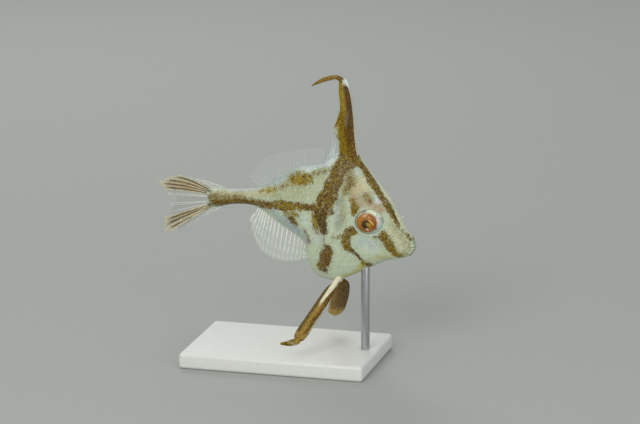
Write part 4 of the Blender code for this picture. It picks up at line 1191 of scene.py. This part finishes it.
def stained_material(fin, skin):
    """Tail membrane: clear at the edges and between the lobes, stained brown and gold in them."""
    material, add, fill = new_material("stained_tail_membrane")
    place = add("ShaderNodeTexCoord")["Object"]
    mask = add("ShaderNodeAttribute", attribute_name="stain")["Vector"]
    stain, warm, pale = add("ShaderNodeSeparateXYZ", {0: mask})
    cells = add("ShaderNodeTexVoronoi", {"Vector": place, "Scale": 1 / (0.75 * skin.dots)})
    drawn = add("ShaderNodeSeparateColor", {0: cells["Color"]})
    warm = add("ShaderNodeMath", {0: warm, 1: drawn[0]}, operation="MULTIPLY", use_clamp=True)[0]
    colour = add("ShaderNodeMix", {0: warm, 6: fin.stain, 7: fin.rust}, data_type="RGBA")[2]
    colour = add("ShaderNodeMix", {0: pale, 6: colour, 7: fin.straw}, data_type="RGBA")[2]
    gap = add("ShaderNodeMapRange", {0: drawn[1], 1: 0.0, 2: 1.0, 3: 0.1, 4: 0.75})[0]
    gap = add("ShaderNodeMath", {0: stain, 1: gap}, operation="SUBTRACT")[0]
    fill({
        "Base Color": colour,
        "Alpha": add("ShaderNodeMapRange", {0: gap, 1: -0.08, 2: 0.08, 3: 0.06, 4: 0.95})[0],
        "Roughness": 0.35,
    })
    return material


def web_material(fin):
    """Milky web between the small spines: thicker, whiter fin skin."""
    material, add, fill = new_material("milky_spine_web")
    place = add("ShaderNodeTexCoord")["Object"]
    cloud = add("ShaderNodeTexNoise", {"Vector": place, "Scale": 1 / (0.5 * MM), "Detail": 3.0})[0]
    fill({
        "Base Color": add("ShaderNodeMix", {0: cloud, 6: fin.web, 7: fin.white}, data_type="RGBA")[2],
        "Roughness": 0.3,
        "Alpha": 0.55,
    })
    return material


def fade_outward(mesh, upper, near, far, most):
    """Fades the rays from this far outside the body's edge to that far, at most so much."""
    x, _, z = points_of(mesh).T
    first = 0 if upper else 2
    edge_x, edge_z = np.array(SECTIONS)[::-1].T[first : first + 2]
    away = np.abs(z - np.interp(x, edge_x, edge_z))
    set_mask(mesh, "fade", most * smoothstep(near, far, away), 0 * x, 0 * x)


class TRIPLESPINE_OT_midline_fins(bpy.types.Operator):
    """Build the anal fin, the soft dorsal fin and the small rear dorsal spines"""

    bl_idname = "triplespine.midline_fins"
    bl_label = "Midline fins"

    def execute(self, context):
        fin = context.scene.triplespine.fin
        milky = clear_material("milky_anal_membrane", fin, 0.16)
        clear = clear_material("clear_dorsal_membrane", fin, 0.04)
        white = ray_material(fin, "ivory_anal_ray", fin.white, fin.clear, 0.8, 1.0)
        faint = ray_material(fin, "faint_dorsal_ray", fin.clear, fin.straw, 0.5, 0.75)
        # Whether each fin is on the back, its rays, their number and thickness, the seed of
        # their lengths, where outside the body they start and end to fade and how much, and
        # the looks of rays and membrane.
        fins = (
            (
                "anal", False, ANAL_RAYS, ANAL_RAY_COUNT, fin.anal_ray,
                ANAL_SEED, (1.5, 5.0, 0.6), white, milky,
            ),
            (
                "soft_dorsal", True, DORSAL_RAYS, DORSAL_RAY_COUNT, fin.dorsal_ray,
                DORSAL_SEED, (0.3, 2.2, 1.0), faint, clear,
            ),
        )
        for name, upper, rays, count, radius, seed, fade, look, film in fins:
            node = f"{name}_fin"
            surface = midline_surface(rays, upper)
            last = len(rays) - 1
            spacing = last / count
            draw = np.random.default_rng(seed)
            bm = bmesh.new()
            for k in range(count):
                row = (k + 0.5) * spacing
                reach = 0.97 + 0.03 * draw.random()
                add_ray(bm, surface, row, spacing, radius / MM, fin.steps, reach, ACROSS_MIDLINE)
            piece = add_piece(f"{name}_rays", bm, look, "clear_fin", node)
            fade_outward(piece.data, upper, *fade)
            bm = membrane(
                surface,
                (0.3 * spacing, last - 0.3 * spacing),
                (count * 6, 24),
                lambda row: 0.93 + 0.03 * np.cos(math.tau * (row / spacing - 0.5)),
                lambda row, t: 0.05 * t * np.sin(math.tau * row / spacing),
                ACROSS_MIDLINE,
                fin.membrane,
            )
            add_piece(f"{name}_membrane", bm, film, "clear_fin", node)
        self.rear_spines(fin)
        return {"FINISHED"}

    def rear_spines(self, fin):
        """The short spines behind the first, joined by a milky web."""
        surface = midline_surface(REAR_SPINES, True)
        last = len(REAR_SPINES) - 1
        share = np.linspace(0, 1, fin.steps)
        bm = bmesh.new()
        for row in range(len(REAR_SPINES)):
            path = surface(np.full(fin.steps, float(row)), share)
            add_strand(bm, path, REAR_SPINE_RADIUS * (1 - 0.85 * share), ACROSS_MIDLINE, 8)
        look = ray_material(fin, "milky_rear_spine", fin.white, fin.clear, 0.8, 0.75)
        add_piece("rear_spinelets", bm, look, "clear_fin", "rear_dorsal_spines")
        bm = membrane(
            surface,
            (0.0, float(last)),
            (32, 20),
            lambda row: 0.62 + 0.16 * np.cos(math.tau * row),
            lambda row, t: 0.04 * np.sin(math.pi * row),
            ACROSS_MIDLINE,
            fin.membrane * 1.6,
        )
        add_piece("rear_spine_web", bm, web_material(fin), "clear_fin", "rear_dorsal_spines")


def in_lobes(row, before, within):
    """From 0 this far outside the tail's lobes, in rows, to 1 this far inside them."""
    return np.maximum.reduce([
        smoothstep(low - before, low + within, row) * smoothstep(high + before, high - within, row)
        for low, high in CAUDAL_LOBES
    ])


def streak_turn(row):
    """A row's place in the brown streaks of its lobe, as an angle.

    The streaks lie as far apart as the rays of the upper lobe.
    """
    upper, lower = CAUDAL_LOBES
    start = np.where(row < (len(CAUDAL_RAYS) - 1) / 2, upper[0], lower[0])
    return math.tau * (row - start) * (CAUDAL_LOBE_RAYS - 1) / (upper[1] - upper[0])


class TRIPLESPINE_OT_tail_fin(bpy.types.Operator):
    """Build the tail fin, two stained lobes with clear skin between and beyond them"""

    bl_idname = "triplespine.tail_fin"
    bl_label = "Tail fin"

    def execute(self, context):
        settings = context.scene.triplespine
        fin = settings.fin
        radius = fin.tail_ray / MM
        draw = np.random.default_rng(TAIL_SEED)
        straw = ray_material(fin, "straw_tail_ray", fin.straw, fin.rust, 0.55, 1.0)
        clear_ray = ray_material(fin, "clear_tail_ray", fin.white, fin.clear, 0.8, 0.8)
        bm = bmesh.new()
        for low, high in CAUDAL_LOBES:
            gap = (high - low) / (CAUDAL_LOBE_RAYS - 1)
            for k in range(CAUDAL_LOBE_RAYS):
                row = low + k * gap
                reach = 0.95 + 0.06 * draw.random()
                add_ray(bm, caudal_surface, row, 0.8 * gap, radius, fin.steps, reach, ACROSS_MIDLINE, 40)
        piece = add_piece("tail_lobe_rays", bm, straw, "tail_fin", "caudal_fin")
        # The rays are dusky near their roots.
        x = points_of(piece.data)[:, 0]
        set_mask(piece.data, "fade", 0 * x, 0.55 * smoothstep(-11.6, -10.2, x), 0 * x)

        share = np.linspace(0, 1, fin.steps)
        bm = bmesh.new()
        for row in CAUDAL_MIDDLE_RAYS + CAUDAL_EDGE_RAYS:
            path = caudal_surface(np.full(fin.steps, row), (0.94 + 0.06 * draw.random()) * share)
            add_strand(bm, path, 0.6 * radius * (1 - 0.6 * share), ACROSS_MIDLINE, 6)
        add_piece("tail_clear_rays", bm, clear_ray, "tail_fin", "caudal_fin")

        last = float(len(CAUDAL_RAYS) - 1)

        def edge(row):
            notch = 0.18 * bell(row - last / 2, 1.4)
            return 0.95 - notch + 0.025 * np.cos(streak_turn(row)) * in_lobes(row, 0.3, 0.0)

        def pleat(row, t):
            most = 0.35 + 0.65 * in_lobes(row, 0.3, 0.0)
            return 0.07 * smoothstep(0.05, 0.5, t) * np.sin(streak_turn(row)) * most

        bm = membrane(
            caudal_surface,
            (0.0, last),
            (200, 60),
            edge,
            pleat,
            ACROSS_MIDLINE,
            fin.membrane,
        )
        stained = stained_material(fin, settings.skin)
        piece = add_piece("tail_membrane", bm, stained, "tail_fin", "caudal_fin")
        self.stain(piece.data)
        return {"FINISHED"}

    def place_on_fin(self, x, z):
        """The row and the share of the way out at each point, from the nearest place on a fine grid."""
        rows = np.linspace(0, len(CAUDAL_RAYS) - 1, 241)
        reaches = np.linspace(0, 1, 81)
        grid_row, grid_reach = np.meshgrid(rows, reaches, indexing="ij")
        grid = caudal_surface(grid_row, grid_reach).reshape(-1, 3)[:, [0, 2]]
        row, reach = np.empty(len(x)), np.empty(len(x))
        at_once = 2000
        for start in range(0, len(x), at_once):
            part = slice(start, start + at_once)
            here = np.stack([x[part], z[part]], -1)
            nearest = ((here[:, None, :] - grid[None]) ** 2).sum(-1).argmin(1)
            row[part], reach[part] = grid_row.ravel()[nearest], grid_reach.ravel()[nearest]
        return row, reach

    def stain(self, mesh):
        """Stains the lobes in streaks, from near the roots to near the tips."""
        x, _, z = points_of(mesh).T
        row, reach = self.place_on_fin(x, z)
        lobe = in_lobes(row, 0.3, 0.0)
        inner = in_lobes(row, 0.1, 0.5)
        streak = lobe * smoothstep(0.35, -0.45, np.cos(streak_turn(row)))
        stain = (0.25 + 0.75 * streak) * lobe * smoothstep(0.0, 0.05, reach)
        stain *= 0.95 - 0.55 * smoothstep(0.75, 0.95, reach)
        warm = 0.15 + 0.8 * inner * bell(reach - 0.5, 0.22)
        pale = np.maximum(0.8 * smoothstep(0.75, 0.95, reach), 0.75 * (1 - streak)) * lobe
        set_mask(mesh, "stain", stain, warm, pale)


class TRIPLESPINE_OT_pectoral_fins(bpy.types.Operator):
    """Build the two clear pectoral fins"""

    bl_idname = "triplespine.pectoral_fins"
    bl_label = "Pectoral fins"

    def execute(self, context):
        fin = context.scene.triplespine.fin
        look = ray_material(fin, "clear_pectoral_ray", fin.white, fin.clear, 0.8, 0.4)
        clear = clear_material("clear_pectoral_membrane", fin, 0.06)
        last = len(PECTORAL_RAYS) - 1
        spacing = last / PECTORAL_RAY_COUNT
        for side, name in ((-1, "right"), (1, "left")):
            surface = pectoral_surface(side)
            across = unit(np.array((0.35, side, 0.0)))
            bm = bmesh.new()
            for k in range(PECTORAL_RAY_COUNT):
                row = (k + 0.5) * spacing
                add_ray(bm, surface, row, spacing, fin.pectoral_ray / MM, fin.steps, 1.0, across, 14)
            piece = add_piece(f"{name}_pectoral_rays", bm, look, "clear_fin", f"pectoral_fin_{name}")
            # The rays fade soon after their roots.
            x = points_of(piece.data)[:, 0]
            set_mask(piece.data, "fade", 0.85 * smoothstep(5.4, 4.2, x), 0 * x, 0 * x)
            bm = membrane(
                surface,
                (0.0, float(last)),
                (60, 20),
                lambda row: 0.94 + 0.03 * np.cos(math.tau * (row / spacing - 0.5)),
                lambda row, t: 0.03 * t * np.sin(math.tau * row / spacing),
                across,
                fin.membrane,
            )
            add_piece(f"{name}_pectoral_membrane", bm, clear, "clear_fin", f"pectoral_fin_{name}")
        return {"FINISHED"}


def bone_material(spine):
    """Living bone of a spine: ivory, clouded tan where it grows, with a satin surface."""
    material, add, fill = new_material("ivory_spine_bone")
    place = add("ShaderNodeTexCoord")["Object"]
    cloud = add("ShaderNodeTexNoise", {"Vector": place, "Scale": 1 / (0.35 * MM), "Detail": 4.0})[0]
    share = add("ShaderNodeMapRange", {0: cloud, 1: 0.5, 2: 0.8, 3: 0.0, 4: 0.7})[0]
    fill({
        "Base Color": add("ShaderNodeMix", {0: share, 6: spine.bone, 7: spine.growth}, data_type="RGBA")[2],
        "Normal": add("ShaderNodeBump", {"Strength": 0.3, "Distance": 0.02 * MM, "Height": cloud})[0],
        "Roughness": 0.32,
        "Coat Weight": 0.3,
        "Subsurface Weight": 0.2,
        "Subsurface Scale": 0.4 * MM,
    })
    return material


class TRIPLESPINE_OT_dorsal_spine(bpy.types.Operator):
    """Build the first dorsal spine in its sheath of skin, with the flap on its tip"""

    bl_idname = "triplespine.dorsal_spine"
    bl_label = "First dorsal spine"

    def execute(self, context):
        settings = context.scene.triplespine
        skin = pigment_material("dotted_spine_skin", settings.skin, 0.12, 0.15)
        self.add_sheath(settings, skin)
        self.add_flap(settings.spine, skin)
        self.add_bone_tip(settings)
        return {"FINISHED"}

    def add_sheath(self, settings, look):
        """The sheath: round over the bone in its front half, thin and wrinkled behind it."""
        rows = len(SPINE_SHEATH) - 1

        def sheath(s, t):
            z, rear, front, half = columns_at(SPINE_SHEATH, s * rows)
            drawn = rounded_ends(s, 0.0, 0.03)
            turn = math.tau * t
            share = 0.5 + 0.5 * np.cos(turn)
            bone = np.sqrt(np.maximum(1 - ((share - 0.7) / 0.3) ** 2, 0))
            skin = 0.62 * np.sqrt(np.maximum(1 - (2 * share - 1) ** 2, 0))
            thick = half * (bone**4 + skin**4) ** 0.25
            wrinkle = 1 + 0.06 * np.sin(9.0 * z + 14 * share) * smoothstep(0.5, 0.2, share)
            middle = (rear + front) / 2
            x = middle + (rear + (front - rear) * share - middle) * drawn
            return np.stack([x, thick * wrinkle * drawn * np.sign(np.sin(turn)), z], -1)

        bm = bmesh.new()
        bend_grid(bm, settings.spine.steps, settings.spine.sides, sheath)
        piece = add_piece("first_spine_sheath", bm, look, "spine_skin", "dorsal_spine")
        self.mark(piece.data, settings)

    def add_flap(self, spine, look):
        """The flap of skin on the spine's tip."""
        steps = 59
        share = np.linspace(0, 1, steps + 1)
        x, z, height, thick = columns_at(SPINE_FLAP, share * (len(SPINE_FLAP) - 1))
        path = np.stack([x, 0.05 * np.sin(5 * share), z], -1)
        along = unit(np.gradient(path, axis=0))
        across = unit(np.cross(along, ACROSS_MIDLINE))

        def flap(s, t):
            i = np.rint(s * steps).astype(int)
            turn = math.tau * t
            drawn = rounded_ends(s, 0.05, 0.03)
            side = (height[i] * drawn * np.cos(turn))[:, None] * across[i]
            out = (thick[i] * drawn * np.sin(turn))[:, None] * np.array(ACROSS_MIDLINE)
            return path[i] + side + out

        bm = bmesh.new()
        bend_grid(bm, steps, 24, flap)
        piece = add_piece("first_spine_flap", bm, look, "spine_skin", "dorsal_spine")
        x = points_of(piece.data)[:, 0]
        root = smoothstep(6.3, 7.2, x)
        set_mask(piece.data, "pigment", 0.25 + 0.4 * root, 0.35 + 0 * x, 0.3 * root)
        colours = np.tile(spine.amber, (len(x), 1))
        paint_over(colours, np.maximum(0.8 * root, 0.5 * smoothstep(4.6, 3.8, x)), spine.moss)
        set_ground(piece.data, colours)

    def add_bone_tip(self, settings):
        """The bare end of the bone, which stands out of the sheath."""
        share = np.linspace(0, 1, 40)
        x, z, radius = columns_at(SPINE_BONE, share * (len(SPINE_BONE) - 1))
        bm = bmesh.new()
        add_strand(bm, np.stack([x, 0 * x, z], -1), radius, ACROSS_MIDLINE, 20)
        fin = settings.fin
        look = ray_material(fin, "frosted_spine_tip", settings.skin.frost, fin.web, 1.0, 0.95)
        add_piece("first_spine_bone_tip", bm, look, "spine_skin", "dorsal_spine")

    def mark(self, mesh, settings):
        """Red brown before, gold behind, a pale line down the front edge and a pale bulge at the back."""
        x, _, z = points_of(mesh).T
        place = np.interp(z, [row[0] for row in SPINE_SHEATH], range(len(SPINE_SHEATH)))
        _, rear, front, _ = columns_at(SPINE_SHEATH, place)
        share = (x - rear) / (front - rear)
        line = smoothstep(0.945, 0.975, share)
        bulge = bell(z - 30.2, 0.75) * smoothstep(0.3, 0.12, share)
        bulge = np.maximum(bulge, 0.8 * bell(z - 29.0, 0.8) * smoothstep(0.16, 0.04, share))
        tip = smoothstep(35.9, 36.5, z) * smoothstep(0.3, 0.5, share)
        streak = bell(share - 0.6, 0.13) * smoothstep(30.7, 31.4, z) * smoothstep(33.4, 32.6, z)
        golden = smoothstep(0.68, 0.4, share)
        upper = smoothstep(32.2, 33.4, z)
        bare = np.maximum.reduce([line, bulge, tip])
        amount = (0.95 - 0.5 * upper) * (1 - 0.5 * streak) * (1 - 0.9 * bare)
        amount *= 1 - 0.3 * smoothstep(0.6, 0.8, share) * smoothstep(28.0, 29.5, z)
        gold = 0.45 + 0.2 * golden - 0.25 * (1 - golden) * smoothstep(28.0, 30.0, z)
        set_mask(mesh, "pigment", amount, gold, 0.3 * (1 - golden))

        spine = settings.spine
        colours = np.tile(spine.russet, (len(x), 1))
        paint_over(colours, golden, spine.brass)
        paint_over(colours, 0.75 * streak, spine.lilac)
        paint_over(colours, bulge, spine.bulge)
        paint_over(colours, np.maximum(0.9 * line, 0.8 * tip), settings.skin.edge)
        set_ground(mesh, colours)


def pelvic_axes(side):
    """The hip, the whole reach of the spine, and the directions forward and through its blade."""
    hip = np.array((HIP[0], side * HIP[1], HIP[2]))
    reach = np.array(PELVIC_REACH[side])
    along = unit(reach)
    fore = np.array((1.0, 0.0, 0.0))
    blade = unit(fore - along * (along @ fore))
    return hip, reach, blade, np.cross(along, blade)


class TRIPLESPINE_OT_pelvic_spines(bpy.types.Operator):
    """Build the splayed pelvic spines, the right one bare at its root and the left one a paddle"""

    bl_idname = "triplespine.pelvic_spines"
    bl_label = "Pelvic spines"

    def execute(self, context):
        settings = context.scene.triplespine
        spine = settings.spine
        bone = bone_material(spine)
        skin = pigment_material("dotted_pelvic_skin", settings.skin, 0.12, 0.15)
        for side, name, rows in ((-1, "right", PELVIC_RIGHT), (1, "left", PELVIC_LEFT)):
            node = f"pelvic_spine_{name}"
            bm = bmesh.new()
            self.add_bone(bm, side)
            add_piece(f"{name}_pelvic_bone", bm, bone, "spine_skin", node)
            bm = bmesh.new()
            self.add_sheath(bm, spine, side, rows)
            if side < 0:
                self.add_tag(bm, side)
            piece = add_piece(f"{name}_pelvic_sheath", bm, skin, "spine_skin", node)
            self.mark(piece.data, spine, side)
        return {"FINISHED"}

    def add_bone(self, bm, side):
        """The bone from inside the hip outward. On the right it lies bare on the blade near its root."""
        hip, reach, blade, through = pelvic_axes(side)
        outward = through * (1 if through[2] > 0 else -1)
        last = 0.62 if side < 0 else 0.9
        share = np.linspace(-0.1, last, 80)
        radii = PELVIC_BONE_RADIUS * (1 - 0.3 * np.clip(share, 0, 1))
        lift = 0.16 * smoothstep(0.75, 0.2, share) if side < 0 else 0 * share
        path = hip + reach * share[:, None] + blade * 0.03 + outward * lift[:, None]
        add_strand(bm, path, radii, through, 24)

    def add_sheath(self, bm, spine, side, rows):
        """The blade of creased skin round the bone, thinner towards its two edges."""
        hip, reach, blade, through = pelvic_axes(side)
        start = hip + unit(reach) * PELVIC_SHEATH_START
        whole = hip + reach - start

        def sheath(s, t):
            far, front, rear, half = columns_at(rows, s * (len(rows) - 1))
            drawn = rounded_ends(s, 0.03, 0.07)
            turn = math.tau * t
            fore = np.cos(turn)
            reach_out = np.where(fore > 0, front, rear)
            thin = 1 - 0.35 * smoothstep(0.1, 1.0, np.abs(fore))
            crease = 1 + 0.05 * np.sin(26 * s + 3 * fore)
            side_way = (reach_out * drawn * fore)[:, None] * blade
            out = (half * drawn * thin * crease * np.sin(turn))[:, None] * through
            return start + whole * far[:, None] + side_way + out

        bend_grid(bm, spine.steps, spine.sides, sheath)

    def add_tag(self, bm, side):
        """The tag of skin that trails back from the tip, half as thick as it is high."""
        hip, reach, _, _ = pelvic_axes(side)
        share = np.linspace(0, 1, 40)
        back, below, half = columns_at(PELVIC_TAG, share * (len(PELVIC_TAG) - 1))
        path = hip + reach + np.stack([-back, 0 * back, -below], -1)
        add_strand(bm, path, half, ACROSS_MIDLINE, 24, 0.5)

    def mark(self, mesh, spine, side):
        """Dark edges, a golden middle and, on the right spine, bone showing at its root."""
        hip, reach, blade, _ = pelvic_axes(side)
        points = points_of(mesh)
        far = (points - hip) @ unit(reach) / np.linalg.norm(reach)
        across = (points - hip) @ blade
        colours = np.tile(spine.wood, (len(points), 1))
        if side < 0:
            width = np.interp(far, (0.0, 0.15, 0.45), (0.5, 0.3, 0.16))
            bare = smoothstep(0.5, 0.34, far) * smoothstep(width + 0.1, width - 0.1, np.abs(across - 0.02))
            middle = bell(across - 0.1, 0.38) * smoothstep(0.3, 0.45, far)
            middle = 0.8 * np.maximum(middle, 0.9 * smoothstep(0.86, 0.93, far) * smoothstep(1.02, 0.97, far))
            rim = smoothstep(0.66, 0.76, across) * smoothstep(0.95, 0.8, far)
            dark = 0.7 * smoothstep(0.25, 0.5, np.abs(across - 0.1)) * smoothstep(1.02, 0.9, far)
            tag = smoothstep(0.99, 1.03, far)
            spot = tag * bell(far - 1.075, 0.016)
            paint_over(colours, tag, spine.moss)
        else:
            bare = tag = spot = 0 * far
            middle = np.maximum(smoothstep(0.62, 0.9, far), 0.35 * smoothstep(0.3, -0.3, across))
            rim = 0.8 * smoothstep(-0.62, -0.8, across)
            dark = 0.6 * smoothstep(0.2, 0.8, across) * smoothstep(1.0, 0.85, far)
        paint_over(colours, middle, spine.honey)
        paint_over(colours, np.maximum(rim, 0.8 * spot), spine.rim)
        paint_over(colours, bare, spine.bone)
        set_ground(mesh, colours)
        amount = (0.8 - 0.4 * middle) * (1 - bare) * (1 - 0.6 * rim) * (1 - 0.5 * spot)
        set_mask(mesh, "pigment", amount, 0.25 + 0.4 * middle + 0.4 * tag, dark)


class TRIPLESPINE_OT_stand(bpy.types.Operator):
    """Build the base and the rod of the display stand"""

    bl_idname = "triplespine.stand"
    bl_label = "Stand"

    def execute(self, context):
        stand = context.scene.triplespine.stand
        low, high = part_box("stand_base")
        bm = bmesh.new()
        bmesh.ops.create_cube(bm, size=1.0)
        bmesh.ops.scale(bm, vec=high - low, verts=bm.verts)
        bmesh.ops.translate(bm, vec=(low + high) / 2, verts=bm.verts)
        self.round_edges(bm, bm.edges[:], stand.edge, 8)
        add_piece("display_base", bm, self.lacquer(stand), "stand_base", "stand_base")

        low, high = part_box("stand_rod")
        radius = (high.x - low.x) / 2
        bm = bmesh.new()
        bmesh.ops.create_cone(
            bm,
            cap_ends=True,
            segments=64,
            radius1=radius,
            radius2=radius,
            depth=high.z - low.z,
            matrix=Matrix.Translation((low + high) / 2),
        )
        rims = [edge for edge in bm.edges if len({round(vert.co.z, 7) for vert in edge.verts}) == 1]
        self.round_edges(bm, rims, ROD_ROUND * MM, 4)
        rod = add_piece("display_rod", bm, self.steel(stand), "stand_rod", "stand_rod")
        rod.data.set_sharp_from_angle(angle=math.radians(50))
        return {"FINISHED"}

    def round_edges(self, bm, edges, radius, segments):
        """Bevels these edges to a round of this radius."""
        bmesh.ops.bevel(
            bm,
            geom=edges,
            offset=radius,
            segments=segments,
            profile=0.5,
            affect="EDGES",
            material=-1,
        )

    def lacquer(self, stand):
        """Satin lacquered wood board: an even pale coat with the faintest orange peel."""
        material, add, fill = new_material("pale_satin_lacquer")
        place = add("ShaderNodeTexCoord")["Object"]
        peel = add("ShaderNodeTexNoise", {"Vector": place, "Scale": 1 / (0.8 * MM), "Detail": 2.0})[0]
        shade = add("ShaderNodeMapRange", {0: peel, 1: 0.2, 2: 0.8, 3: 0.97, 4: 1.03})[0]
        fill({
            "Base Color": add("ShaderNodeHueSaturation", {"Value": shade, "Color": stand.base})[0],
            "Normal": add("ShaderNodeBump", {"Strength": 0.1, "Distance": 0.02 * MM, "Height": peel})[0],
            "Roughness": 0.45,
        })
        return material

    def steel(self, stand):
        """Brushed steel: fine lines round the rod that stretch the highlight along it."""
        material, add, fill = new_material("brushed_steel")
        place = add("ShaderNodeTexCoord")["Object"]
        # Lines 0.05 mm apart and 1.25 mm long, coarser than real brushing so that they show close up.
        line = (1 / (1.25 * MM), 1 / (1.25 * MM), 1 / (0.05 * MM))
        stretch = add("ShaderNodeMapping", {"Vector": place, "Scale": line})[0]
        brush = add("ShaderNodeTexNoise", {"Vector": stretch, "Scale": 1.0, "Detail": 3.0})[0]
        fill({
            "Base Color": stand.steel,
            "Metallic": 1.0,
            "Roughness": add("ShaderNodeMapRange", {0: brush, 1: 0.3, 2: 0.7, 3: 0.22, 4: 0.38})[0],
        })
        return material


class TRIPLESPINE_OT_stage(bpy.types.Operator):
    """Set the pale floor, the soft lights and the camera at the photograph's angle"""

    bl_idname = "triplespine.stage"
    bl_label = "Stage"

    def execute(self, context):
        stage = context.scene.triplespine.stage
        bm = bmesh.new()
        bmesh.ops.create_grid(bm, x_segments=4, y_segments=4, size=FLOOR_HALF)
        mesh = bpy.data.meshes.new("floor")
        bm.to_mesh(mesh)
        bm.free()
        mesh.materials.append(self.floor_material(stage))
        floor = bpy.data.objects.new("floor", mesh)
        context.scene.collection.objects.link(floor)

        for name, place, size, power, colour in LIGHTS:
            data = bpy.data.lights.new(name, "AREA")
            data.shape = "DISK"
            data.size = size
            data.energy = power * stage.key
            data.color = colour
            light = bpy.data.objects.new(name, data)
            aim = Vector(LIGHTS_AIM) - Vector(place)
            turn = aim.to_track_quat("-Z", "Y").to_matrix().to_4x4()
            light.matrix_world = Matrix.Translation(place) @ turn
            context.scene.collection.objects.link(light)

        world = bpy.data.worlds.new("soft_room")
        world.use_nodes = True
        background = world.node_tree.nodes["Background"]
        background.inputs["Color"].default_value = (0.95, 0.97, 0.95, 1.0)
        background.inputs["Strength"].default_value = 0.6
        context.scene.world = world
        context.scene.view_settings.view_transform = "Standard"
        self.add_camera(context, stage)
        return {"FINISHED"}

    def floor_material(self, stage):
        """Seamless matt paper under the stand."""
        material, add, fill = new_material("matt_paper_floor")
        place = add("ShaderNodeTexCoord")["Object"]
        fibre = add("ShaderNodeTexNoise", {"Vector": place, "Scale": 1 / (1.5 * MM), "Detail": 5.0})[0]
        shade = add("ShaderNodeMapRange", {0: fibre, 1: 0.2, 2: 0.8, 3: 0.98, 4: 1.02})[0]
        fill({
            "Base Color": add("ShaderNodeHueSaturation", {"Value": shade, "Color": stage.floor})[0],
            "Roughness": 0.8,
        })
        return material

    def add_camera(self, context, stage):
        """Looks at the fish from its right side, a little from above, as the photograph does."""
        turn, rise = stage.azimuth, stage.elevation
        right = Vector((math.cos(turn), math.sin(turn), 0))
        up = Vector((-math.sin(turn) * math.sin(rise), math.cos(turn) * math.sin(rise), math.cos(rise)))
        back = right.cross(up)
        aim = Vector((0, 0, CAMERA_AIM_Z * MM)) + right * CAMERA_RIGHT * MM + up * CAMERA_UP * MM
        place = Matrix((right, up, back)).transposed().to_4x4()
        place.translation = aim + back * stage.distance
        data = bpy.data.cameras.new("camera")
        data.lens = stage.lens
        data.sensor_width = 36.0
        data.clip_start = 0.01
        camera = bpy.data.objects.new("camera", data)
        camera.matrix_world = place
        context.scene.collection.objects.link(camera)
        context.scene.camera = camera


class TRIPLESPINE_PT_panel(bpy.types.Panel):
    """The pieces of the model and what can be changed about them"""

    bl_label = "Triplespine"
    bl_idname = "TRIPLESPINE_PT_panel"
    bl_space_type = "VIEW_3D"
    bl_region_type = "UI"
    bl_category = "Triplespine"

    def draw(self, context):
        settings = context.scene.triplespine
        for operator, group in STEPS:
            box = self.layout.box()
            box.operator(operator.bl_idname)
            for name in getattr(settings, group).__annotations__:
                box.prop(getattr(settings, group), name)


STEPS = (
    (TRIPLESPINE_OT_stage, "stage"),
    (TRIPLESPINE_OT_skin, "skin"),
    (TRIPLESPINE_OT_eyes, "eye"),
    (TRIPLESPINE_OT_midline_fins, "fin"),
    (TRIPLESPINE_OT_tail_fin, "fin"),
    (TRIPLESPINE_OT_pectoral_fins, "fin"),
    (TRIPLESPINE_OT_dorsal_spine, "spine"),
    (TRIPLESPINE_OT_pelvic_spines, "spine"),
    (TRIPLESPINE_OT_stand, "stand"),
)
GROUPS = (
    SkinSettings,
    EyeSettings,
    FinSettings,
    SpineSettings,
    StandSettings,
    StageSettings,
    TriplespineSettings,
)


def register():
    for group in GROUPS:
        bpy.utils.register_class(group)
    for operator, _ in STEPS:
        bpy.utils.register_class(operator)
    bpy.utils.register_class(TRIPLESPINE_PT_panel)
    bpy.types.Scene.triplespine = PointerProperty(type=TriplespineSettings)


def unregister():
    del bpy.types.Scene.triplespine
    bpy.utils.unregister_class(TRIPLESPINE_PT_panel)
    for operator, _ in reversed(STEPS):
        bpy.utils.unregister_class(operator)
    for group in reversed(GROUPS):
        bpy.utils.unregister_class(group)


def main():
    register()
    bpy.ops.triplespine.stage()
    bpy.ops.triplespine.skin()
    bpy.ops.triplespine.eyes()
    bpy.ops.triplespine.midline_fins()
    bpy.ops.triplespine.tail_fin()
    bpy.ops.triplespine.pectoral_fins()
    bpy.ops.triplespine.dorsal_spine()
    bpy.ops.triplespine.pelvic_spines()
    bpy.ops.triplespine.stand()


if __name__ == "__main__":
    main()
